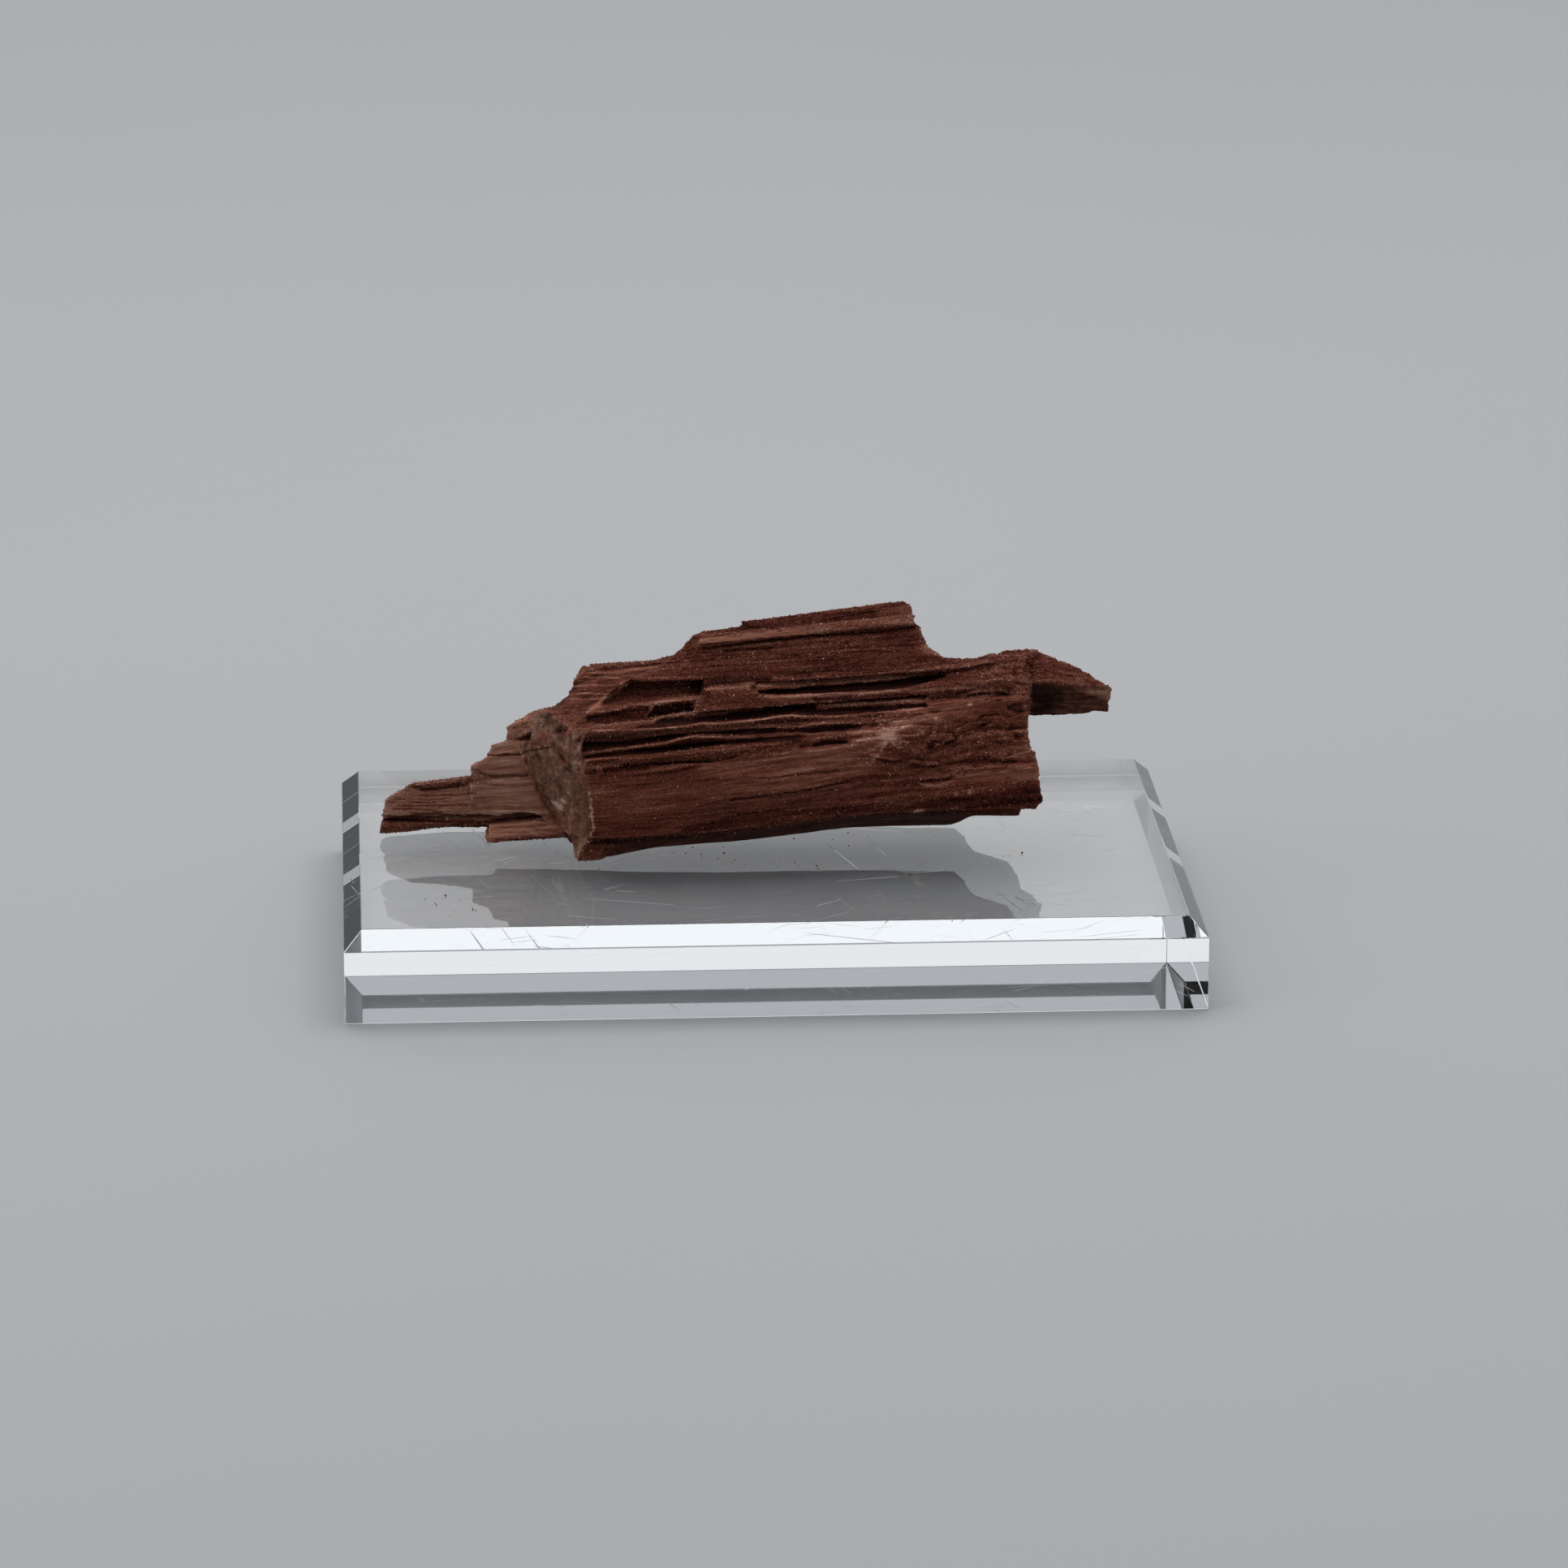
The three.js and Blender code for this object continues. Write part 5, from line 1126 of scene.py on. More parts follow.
@dataclass
class NodeBench:
    """Adds and wires nodes in one node tree."""

    tree: bpy.types.NodeTree

    def add(self, kind: str, **values: object) -> bpy.types.Node:
        """Adds a node and sets its settings and unlinked inputs.

        Args:
            kind: The node's type name.
            values: Settings by name; an input is named with its spaces as underscores.

        Returns:
            The new node.
        """
        node = self.tree.nodes.new(kind)
        for name, value in values.items():
            if hasattr(node, name):
                setattr(node, name, value)
            else:
                self.feed(node, name.replace("_", " "), value)
        return node

    def feed(self, node: bpy.types.Node, name: str | int, value: object) -> None:
        """Links a socket into an input, or gives the input a plain value.

        Args:
            node: The node.
            name: The input's name or number.
            value: A socket or a plain value.
        """
        socket = node.inputs[name]
        if isinstance(value, Socket):
            self.tree.links.new(value, socket)
        elif isinstance(value, tuple) and len(value) == 3 and socket.type == "RGBA":
            socket.default_value = (*value, 1.0)
        else:
            socket.default_value = value

    def math(self, operation: str, *values: object, clamp: bool = False) -> Socket:
        """One number from a sum, product or other operation.

        Args:
            operation: Its name.
            values: Sockets or plain numbers.
            clamp: Whether to keep it from 0 to 1.

        Returns:
            The result.
        """
        node = self.tree.nodes.new("ShaderNodeMath")
        node.operation = operation
        node.use_clamp = clamp
        for slot, value in enumerate(values):
            self.feed(node, slot, value)
        return node.outputs[0]

    def mix(self, share: object, first: object, second: object) -> Socket:
        """A colour between two others.

        Args:
            share: How much of the second.
            first: The first colour.
            second: The second colour.

        Returns:
            The colour.
        """
        node = self.tree.nodes.new("ShaderNodeMix")
        node.data_type = "RGBA"
        for slot, value in ((0, share), (6, first), (7, second)):
            self.feed(node, slot, value)
        return node.outputs[2]

    def ramp(self, share: object, stops: Sequence[Colour]) -> Socket:
        """A colour from a row of stops spread evenly from 0 to 1.

        Args:
            share: Place along the row.
            stops: The colours.

        Returns:
            The colour.
        """
        node = self.tree.nodes.new("ShaderNodeValToRGB")
        self.feed(node, 0, share)
        elements = node.color_ramp.elements
        for _ in range(len(stops) - 2):
            elements.new(0.5)
        for number, (element, stop) in enumerate(zip(elements, stops)):
            element.position = number / (len(stops) - 1)
            element.color = (*stop, 1.0)
        return node.outputs[0]

    def span(self, value: object, low: float, high: float, to: tuple = (0.0, 1.0)) -> Socket:
        """Eases a number from one range to another, held at the ends.

        Args:
            value: The number.
            low: Start of its range.
            high: End of its range.
            to: The new range.

        Returns:
            The eased number.
        """
        node = self.tree.nodes.new("ShaderNodeMapRange")
        node.interpolation_type = "SMOOTHSTEP"
        for slot, number in enumerate((value, low, high, *to)):
            self.feed(node, slot, number)
        return node.outputs[0]

    def stretched(self, scale: Triple = (1.0, 1.0, 1.0), turn: float = 0.0) -> Socket:
        """Object coordinates, turned about the upright in degrees and then scaled along each axis.

        Args:
            scale: Factor along each axis.
            turn: Degrees about the upright.

        Returns:
            The coordinates.
        """
        place = self.tree.nodes.new("ShaderNodeTexCoord").outputs["Object"]
        angles = (0.0, 0.0, math.radians(turn))
        turned = self.add("ShaderNodeMapping", Vector=place, Rotation=angles).outputs[0]
        return self.add("ShaderNodeMapping", Vector=turned, Scale=scale).outputs[0]

    def noise(self, where: object, scale: object, detail: float, rough: float = 0.5) -> Socket:
        """Fractal noise from about 0 to 1."""
        values = {"Vector": where, "Scale": scale, "Detail": detail, "Roughness": rough}
        return self.add("ShaderNodeTexNoise", **values).outputs[0]

    def mask(self, name: str) -> Socket:
        """A number stored on the mesh."""
        return self.add("ShaderNodeAttribute", attribute_name=name).outputs["Fac"]


def new_group(
    name: str, inputs: dict[str, float], outputs: Sequence[str]
) -> tuple[NodeBench, bpy.types.Node, bpy.types.Node]:
    """Starts a node group of numbers.

    Args:
        name: The group's name.
        inputs: Default value of each input.
        outputs: Name of each output.

    Returns:
        A bench on the group, its input node and its output node.
    """
    tree = bpy.data.node_groups.new(name, "ShaderNodeTree")
    for socket, value in inputs.items():
        made = tree.interface.new_socket(socket, in_out="INPUT", socket_type="NodeSocketFloat")
        made.default_value = value
    for socket in outputs:
        tree.interface.new_socket(socket, in_out="OUTPUT", socket_type="NodeSocketFloat")
    bench = NodeBench(tree)
    return bench, bench.add("NodeGroupInput"), bench.add("NodeGroupOutput")


@cache
def streak_group() -> Group:
    """Fine lines that run along the wood's layers: a shade and a height.

    Returns:
        The group.
    """
    bench, given, result = new_group("grain_streaks", {"Layer": 0.0}, ("Shade", "Height"))
    place = bench.add("ShaderNodeSeparateXYZ", Vector=bench.stretched())

    def strands(along: float, across: float, inward: float, detail: float) -> Socket:
        """Noise drawn out along the layers.

        Args:
            along: Pitches a metre along the layers.
            across: Pitches across them.
            inward: Pitches into the stem.
            detail: How much fine noise.

        Returns:
            The noise.
        """
        parts = (place.outputs[0], given.outputs["Layer"], place.outputs[1])
        scaled = [bench.math("MULTIPLY", part, pitch) for part, pitch in zip(parts, (along, across, inward))]
        where = bench.add("ShaderNodeCombineXYZ", X=scaled[0], Y=scaled[1], Z=scaled[2])
        return bench.noise(where.outputs[0], 1.0, detail, 0.6)

    broad = strands(30.0, 560.0, 200.0, 2.0)
    fine = strands(70.0, 1900.0, 700.0, 3.0)
    hair = strands(160.0, 4200.0, 2400.0, 2.0)
    blend = bench.math("MULTIPLY_ADD", broad, 0.7, bench.math("MULTIPLY", hair, 0.8))
    blend = bench.math("MULTIPLY_ADD", fine, 1.1, blend)
    bench.feed(result, "Shade", bench.math("SUBTRACT", blend, 1.3))
    bench.feed(result, "Height", bench.math("MULTIPLY_ADD", fine, 0.6, bench.math("MULTIPLY", hair, 0.4)))
    return bench.tree


@cache
def colour_group() -> Group:
    """The stone's colours: red-brown, tan and grey families, each from deep to pale.

    Returns:
        The group.
    """
    bench, given, result = new_group("stone_colour", {"Tone": 0.0, "Tan": 0.0, "Grey": 0.0}, ())
    bench.tree.interface.new_socket("Color", in_out="OUTPUT", socket_type="NodeSocketColor")
    share = bench.math("MULTIPLY_ADD", given.outputs["Tone"], 0.5, 0.5, clamp=True)
    families = [bench.ramp(share, family.stops) for family in (RED_FAMILY, TAN_FAMILY, GREY_FAMILY)]
    colour = bench.mix(given.outputs["Tan"], families[0], families[1])
    bench.feed(result, "Color", bench.mix(given.outputs["Grey"], colour, families[2]))
    return bench.tree


@cache
def sugar_group() -> Group:
    """Crusted quartz grains: a height, a shade that differs by grain and rare bright facets.

    Returns:
        The group.
    """
    bench, given, result = new_group("sugar_grains", {"Grain Size": 0.0006}, ("Height", "Shade", "Glint"))
    place = bench.stretched()
    scale = bench.math("DIVIDE", 1.0, given.outputs["Grain Size"])
    wobble = bench.noise(place, 900.0, 1.0)
    cells = bench.add("ShaderNodeTexVoronoi", Vector=place, Scale=scale)
    own = bench.add("ShaderNodeSeparateColor", Color=cells.outputs["Color"])
    height = bench.math("SUBTRACT", 1.0, bench.span(cells.outputs["Distance"], 0.0, 0.75))
    bench.feed(result, "Height", bench.math("MULTIPLY_ADD", wobble, 0.3, height))
    bench.feed(result, "Shade", own.outputs[0])
    bench.feed(result, "Glint", bench.span(own.outputs[1], 0.992, 0.998))
    return bench.tree


@cache
def mottle_group() -> Group:
    """Cloudy blotches without a direction.

    Returns:
        The group.
    """
    bench, given, result = new_group("mottle", {"Scale": 200.0}, ("Shade", "Pits"))
    place = bench.stretched()
    cloud = bench.noise(place, given.outputs["Scale"], 4.0, 0.6)
    bench.feed(result, "Shade", bench.span(cloud, 0.32, 0.68))
    speck = bench.noise(place, bench.math("MULTIPLY", given.outputs["Scale"], 6.0), 2.0, 0.6)
    bench.feed(result, "Pits", bench.span(speck, 0.62, 0.74))
    return bench.tree


SCRATCH_LINES = ((17.0, 900.0), (-38.0, 1300.0), (74.0, 1000.0), (-12.0, 1500.0))
SCRATCHED_HEIGHTS = (24.8 * MM, 25.2 * MM)


@cache
def scratch_group() -> Group:
    """Hair scratches, mostly on the top face, and a haze of wiping marks.

    Each of SCRATCH_LINES gives a direction in degrees and how thin its lines are.

    Returns:
        The group.
    """
    bench, given, result = new_group("scratches", {"Amount": 1.0}, ("Marks", "Haze"))
    marks: object = 0.0
    for angle, thin in SCRATCH_LINES:
        lines = bench.noise(bench.stretched((20.0, thin, 40.0), angle), 1.0, 0.0)
        patch = bench.noise(bench.stretched((34.0, 45.0, 30.0), angle + 30.0), 1.0, 1.0)
        line = bench.span(lines, 0.76, 0.8)
        marks = bench.math("MAXIMUM", marks, bench.math("MULTIPLY", line, bench.span(patch, 0.57, 0.66)))
    height = bench.add("ShaderNodeSeparateXYZ", Vector=bench.stretched()).outputs[2]
    flat = bench.math("MULTIPLY_ADD", bench.span(height, *SCRATCHED_HEIGHTS), 0.85, 0.15)
    marks = bench.math("MULTIPLY", marks, flat)
    bench.feed(result, "Marks", bench.math("MULTIPLY", marks, given.outputs["Amount"]))
    haze = bench.noise(bench.stretched((55.0, 70.0, 60.0)), 1.0, 4.0, 0.65)
    bench.feed(result, "Haze", bench.span(haze, 0.4, 0.75))
    return bench.tree


def start_material(name: str) -> tuple[Material, NodeBench, bpy.types.Node]:
    """Makes a material with one Principled shader wired to its output.

    Args:
        name: The material's name.

    Returns:
        The material, a bench on its nodes and its shader.
    """
    material = bpy.data.materials.new(name)
    material.use_nodes = True
    bench = NodeBench(material.node_tree)
    return material, bench, material.node_tree.nodes["Principled BSDF"]


def use_group(bench: NodeBench, tree: Group, **values: object) -> bpy.types.Node:
    """Places a shared group in a material with its own values.

    Args:
        bench: The material's bench.
        tree: The group.
        values: Its inputs, with spaces as underscores.

    Returns:
        The group node.
    """
    node = bench.tree.nodes.new("ShaderNodeGroup")
    node.node_tree = tree
    for name, value in values.items():
        bench.feed(node, name.replace("_", " "), value)
    return node


# ---------- finishes


@dataclass(frozen=True)
class StoneFinish:
    """Dark red-brown silicified wood with streaked smooth faces and a sugary crust."""

    streak_share: float = 1.3
    grain_share: float = 0.5
    cloud_share: float = 0.35
    grain_size: float = 0.00045
    cloud_scale: float = 420.0
    roughness: float = 0.8
    shine: float = 0.12
    relief: float = 0.0008

    def build(self) -> Material:
        """Makes the material.

        Returns:
            The material.
        """
        material, bench, shader = start_material("silicified_wood")
        streaks = use_group(bench, streak_group(), Layer=bench.mask("layer"))
        sugar = use_group(bench, sugar_group(), Grain_Size=self.grain_size)
        mottle = use_group(bench, mottle_group(), Scale=self.cloud_scale)
        grit, grey = bench.mask("grit"), bench.mask("grey")
        streaked = bench.math("MULTIPLY_ADD", grey, -0.7, 1.0)
        tone = bench.math("MULTIPLY", streaks.outputs["Shade"], self.streak_share)
        tone = bench.math("MULTIPLY", tone, streaked)
        grain = bench.math("MULTIPLY", bench.math("SUBTRACT", sugar.outputs["Shade"], 0.5), grit)
        tone = bench.math("MULTIPLY_ADD", grain, self.grain_share, tone)
        cloud = bench.math("MULTIPLY", bench.math("SUBTRACT", mottle.outputs["Shade"], 0.5), grey)
        tone = bench.math("MULTIPLY_ADD", cloud, self.cloud_share, tone)
        tone = bench.math("ADD", tone, bench.mask("tone"))
        colours = use_group(bench, colour_group(), Tone=tone, Tan=bench.mask("tan"), Grey=grey)
        glint = bench.math("MULTIPLY", sugar.outputs["Glint"], grit)
        bench.feed(shader, "Base Color", colours.outputs["Color"])
        rough = bench.math("MULTIPLY_ADD", glint, -0.5, self.roughness)
        bench.feed(shader, "Roughness", bench.math("MULTIPLY_ADD", mottle.outputs["Shade"], 0.08, rough))
        height = bench.math("MULTIPLY", streaks.outputs["Height"], 0.75)
        grains = bench.math("MULTIPLY", sugar.outputs["Height"], grit)
        height = bench.math("MULTIPLY_ADD", grains, 0.55, height)
        height = bench.math("MULTIPLY_ADD", mottle.outputs["Pits"], -0.12, height)
        bump = bench.add("ShaderNodeBump", Strength=1.0, Distance=self.relief, Height=height)
        bench.feed(shader, "Normal", bump.outputs[0])
        shader.inputs["Specular IOR Level"].default_value = self.shine
        return material


@dataclass(frozen=True)
class CrystalFinish:
    """Small quartz grains stained like the stone; a few get a near-white base colour as painted glints, on
    top of their real lower roughness.
    """

    clear: Colour = srgb(225, 208, 204)
    painted_glint_from: float = 0.995
    cloud_scale: float = 1500.0
    roughness: float = 0.55
    shine: float = 0.14
    relief: float = 0.0001

    def build(self) -> Material:
        """Makes the material.

        Returns:
            The material.
        """
        material, bench, shader = start_material("quartz_grains")
        own = bench.mask("grain_shade")
        clear = bench.span(own, self.painted_glint_from, 0.998)
        mottle = use_group(bench, mottle_group(), Scale=self.cloud_scale)
        # Random grain tone, lifted steeply for the palest few grains, which are painted glints
        tone_lift_and_glint = bench.math("MULTIPLY_ADD", bench.math("POWER", own, 4.0), 0.9, -0.12)
        tone = bench.math("ADD", tone_lift_and_glint, bench.mask("tone"))
        tone = bench.math("MULTIPLY_ADD", bench.math("SUBTRACT", mottle.outputs["Shade"], 0.5), 0.2, tone)
        tan, grey = bench.mask("tan"), bench.mask("grey")
        colours = use_group(bench, colour_group(), Tone=tone, Tan=tan, Grey=grey)
        # Near-white base colour on the rare clear grains is a painted glint
        bench.feed(shader, "Base Color", bench.mix(clear, colours.outputs["Color"], self.clear))
        bench.feed(shader, "Roughness", bench.math("MULTIPLY_ADD", clear, -0.4, self.roughness))
        pits = mottle.outputs["Pits"]
        bump = bench.add("ShaderNodeBump", Strength=0.4, Distance=self.relief, Height=pits)
        bench.feed(shader, "Normal", bump.outputs[0])
        shader.inputs["Specular IOR Level"].default_value = self.shine
        return material


@dataclass(frozen=True)
class AcrylicFinish:
    """Clear cast acrylic with a faint cool tint, hair scratches and wiping haze."""

    tint: Colour = (0.80, 0.90, 0.97)
    refraction: float = 1.49
    absorbing: float = 1.6
    scratch_roughness: float = 0.45
    haze_roughness: float = 0.02
    scratch_depth: float = 0.0001

    def build(self) -> Material:
        """Makes the material.

        Returns:
            The material.
        """
        material, bench, shader = start_material("clear_acrylic")
        scratches = use_group(bench, scratch_group(), Amount=1.0)
        marks, haze = scratches.outputs["Marks"], scratches.outputs["Haze"]
        shader.inputs["Base Color"].default_value = (1.0, 1.0, 1.0, 1.0)
        shader.inputs["Transmission Weight"].default_value = 1.0
        shader.inputs["IOR"].default_value = self.refraction
        rough = bench.math("MULTIPLY", marks, self.scratch_roughness)
        rough = bench.math("MULTIPLY_ADD", haze, self.haze_roughness, rough)
        bench.feed(shader, "Roughness", rough)
        bump = bench.add("ShaderNodeBump", Strength=0.6, Distance=self.scratch_depth, Height=marks)
        bump.invert = True
        bench.feed(shader, "Normal", bump.outputs[0])
        volume = bench.add("ShaderNodeVolumeAbsorption", Color=self.tint, Density=self.absorbing)
        output = bench.tree.nodes["Material Output"]
        bench.feed(output, "Volume", volume.outputs[0])
        return material


# ---------- the wood


@dataclass
class PetrifiedWood:
    """The stone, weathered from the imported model's ledges."""

    grain: GrainField = field(default_factory=GrainField)
    view: FrontView = field(default_factory=FrontView)
    voxel: float = 0.36 * MM
    joining: float = 0.001 * MM
    triangles: int = 160_000
    front_thinning: float = 0.35
    rear_thinning: float = 0.85
    most_triangles: int = 197_000
    hairline: float = 0.36
    beside: float = 0.3
    shortest_split: float = 0.34 * MM
    contact_gap: float = 0.04 * MM
    even_passes: int = 3
    hairline_passes: int = 6
    paint_passes: int = 8
    hollow_passes: int = 20
    sharp_angle: float = 34.0

    def block_top(self) -> float:
        """Height of the face that the stone rests on."""
        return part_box(BASE_NODE)[1][2]

    def local(self, points: np.ndarray) -> np.ndarray:
        """Places in millimetres with heights above the block.

        Args:
            points: Places in metres.

        Returns:
            The new places.
        """
        shifted = points / MM
        shifted[:, 2] -= self.block_top() / MM
        return shifted

    def merged_copy(self) -> Piece:
        """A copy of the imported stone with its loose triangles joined.

        Returns:
            The copy.
        """
        shape = bmesh.new()
        shape.from_mesh(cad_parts[WOOD_NODE].data)
        bmesh.ops.remove_doubles(shape, verts=shape.verts, dist=self.joining)
        return object_from_shape("petrified_wood_stone", shape)

    def remesh(self, piece: Piece) -> None:
        """Gives the copy an even skin of small faces.

        Args:
            piece: The stone.
        """
        modifier = piece.modifiers.new("skin", "REMESH")
        modifier.mode = "VOXEL"
        modifier.voxel_size = self.voxel * 1.0
        apply_modifiers(piece)

    def skin(self, mesh: Mesh, passes: int) -> Skin:
        """Reads the mesh's places with outward directions averaged over their surroundings.

        Args:
            mesh: The stone's mesh.
            passes: How many times to average.

        Returns:
            The places.
        """
        normals = smoothed(mesh, read_rows(mesh, "normal"), passes)
        normals /= np.maximum(np.linalg.norm(normals, axis=1), 1e-9)[:, None]
        return Skin(self.local(read_rows(mesh, "co")), normals, self.view)

    def settle(self, mesh: Mesh, moves: np.ndarray) -> None:
        """Moves places by millimetres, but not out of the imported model's box.

        Args:
            mesh: The stone's mesh.
            moves: One row a vertex.
        """
        low, high = (np.array(corner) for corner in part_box(WOOD_NODE))
        low[2] = self.block_top() + self.contact_gap
        write_points(mesh, np.clip(read_rows(mesh, "co") + moves * MM, low, high))

    def carve(self, piece: Piece, marks: Sequence[Mark], passes: int) -> None:
        """Cuts marks in along the line of sight, so that they keep their place in the front view."""
        skin = self.skin(piece.data, passes)
        self.settle(piece.data, -skin.towards * self.grain.carving(skin, marks)[:, None])

    def weather(self, piece: Piece) -> None:
        """Moves the skin out and in by the grain's relief."""
        skin = self.skin(piece.data, self.even_passes)
        self.settle(piece.data, skin.normals * self.grain.relief(skin)[:, None])

    def thin(self, piece: Piece) -> None:
        """Spends the faces where the relief needs them, and more of them on the front.

        Args:
            piece: The stone.
        """
        mesh = piece.data
        skin = self.skin(mesh, self.even_passes)
        group = piece.vertex_groups.new(name="spare")
        front = skin.front > 0.5
        for share, chosen in ((self.rear_thinning, ~front), (self.front_thinning, front)):
            group.add([int(number) for number in np.flatnonzero(chosen)], share, "REPLACE")
        count = sum(len(face.vertices) - 2 for face in mesh.polygons)
        modifier = piece.modifiers.new("thin", "DECIMATE")
        modifier.vertex_group = group.name
        modifier.vertex_group_factor = 1.0
        modifier.ratio = min(1.0, self.triangles / count)
        modifier.use_collapse_triangulate = True
        apply_modifiers(piece)
        piece.vertex_groups.clear()
        self.drop_folded(piece.data)

    def drop_folded(self, mesh: Mesh) -> None:
        """Deletes faces that lie back to back on the same corners.

        Args:
            mesh: The stone's mesh.
        """
        shape = bmesh.new()
        shape.from_mesh(mesh)
        sharing: dict[frozenset, list] = {}
        for face in shape.faces:
            sharing.setdefault(frozenset(vert.index for vert in face.verts), []).append(face)
        folded = [face for faces in sharing.values() if len(faces) > 1 for face in faces]
        bmesh.ops.delete(shape, geom=folded, context="FACES")
        shape.to_mesh(mesh)
        shape.free()

    def refine(self, piece: Piece, marks: Sequence[Mark]) -> None:
        """Splits the edges around thin marks, so that these stay thin and clean.

        Args:
            piece: The stone.
            marks: The thin marks.
        """
        for _ in range(2):
            mesh = piece.data
            skin = self.skin(mesh, self.even_passes)
            wanted = np.zeros(len(mesh.vertices), bool)
            for mark in marks:
                chosen = mark.near(skin.flat)
                beside = replace(mark, wide=mark.wide + self.beside).share(skin.flat[chosen])
                wanted[chosen] |= (beside > 0.4) & (skin.front[chosen] > 0.3)
            shape = bmesh.new()
            shape.from_mesh(mesh)
            shape.verts.ensure_lookup_table()
            spare = self.most_triangles - len(shape.faces)
            long = [
                edge for edge in shape.edges
                if wanted[edge.verts[0].index] and wanted[edge.verts[1].index]
                and edge.calc_length() > self.shortest_split
            ]
            long.sort(key=lambda edge: -edge.calc_length())
            bmesh.ops.subdivide_edges(shape, edges=long[: max(spare // 2, 0)], cuts=1)
            bmesh.ops.triangulate(shape, faces=[face for face in shape.faces if len(face.verts) > 3])
            shape.to_mesh(mesh)
            shape.free()
            self.drop_folded(mesh)

    def paint(self, piece: Piece) -> None:
        """Stores the masks that the finish reads.

        Args:
            piece: The stone.
        """
        mesh = piece.data
        skin = self.skin(mesh, self.paint_passes)
        points = read_rows(mesh, "co")
        out = points - smoothed(mesh, points, self.hollow_passes)
        stands = np.einsum("ij,ij->i", out, read_rows(mesh, "normal")) / MM
        for name, values in self.grain.qualities(skin, stands).items():
            write_mask(mesh, name, values)
        write_mask(mesh, "layer", skin.layer * MM)

    def build(self) -> Piece:
        """Makes the stone's mesh.

        Returns:
            The finished piece.
        """
        thin = [mark for mark in MARKS if mark.kind() is MarkKind.STROKE and mark.wide <= self.hairline]
        bold = [mark for mark in MARKS if mark not in thin and mark.depth != 0]
        piece = self.merged_copy()
        self.remesh(piece)
        self.carve(piece, bold, self.even_passes)
        self.remesh(piece)
        self.weather(piece)
        self.thin(piece)
        self.refine(piece, thin)
        self.carve(piece, [mark for mark in thin if mark.depth != 0], self.hairline_passes)
        self.paint(piece)
        piece.data.polygons.foreach_set("use_smooth", [True] * len(piece.data.polygons))
        piece.data.set_sharp_from_angle(angle=math.radians(self.sharp_angle))
        return piece

    def dress(self, piece: Piece, finish: StoneFinish) -> None:
        """Gives the stone its finish and its place on the model.

        Args:
            piece: The stone.
            finish: Its finish.
        """
        piece.data.materials.clear()
        piece.data.materials.append(finish.build())
        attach(piece, ROOT_BODY)
        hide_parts(WOOD_NODE)


def grain_template() -> tuple[np.ndarray, np.ndarray]:
    """Corner places and corner triples of one eight-sided grain.

    Returns:
        Places and triples.
    """
    shape = bmesh.new()
    bmesh.ops.create_uvsphere(shape, u_segments=4, v_segments=2, radius=1.0)
    bmesh.ops.triangulate(shape, faces=shape.faces)
    corners = np.array([vertex.co for vertex in shape.verts])
    triples = np.array([[vertex.index for vertex in face.verts] for face in shape.faces])
    shape.free()
    return corners, triples


def random_turns(count: int, dice: np.random.Generator) -> np.ndarray:
    """Evenly spread random rotations, as 3 by 3 matrices.

    Args:
        count: How many.
        dice: The source of chance.

    Returns:
        One matrix each.
    """
    w, x, y, z = (part for part in dice.normal(size=(4, count)))
    length = np.sqrt(w * w + x * x + y * y + z * z)
    w, x, y, z = w / length, x / length, y / length, z / length
    rows = [
        [1 - 2 * (y * y + z * z), 2 * (x * y - z * w), 2 * (x * z + y * w)],
        [2 * (x * y + z * w), 1 - 2 * (x * x + z * z), 2 * (y * z - x * w)],
        [2 * (x * z - y * w), 2 * (y * z + x * w), 1 - 2 * (x * x + y * y)],
    ]
    return np.array(rows).transpose(2, 0, 1)


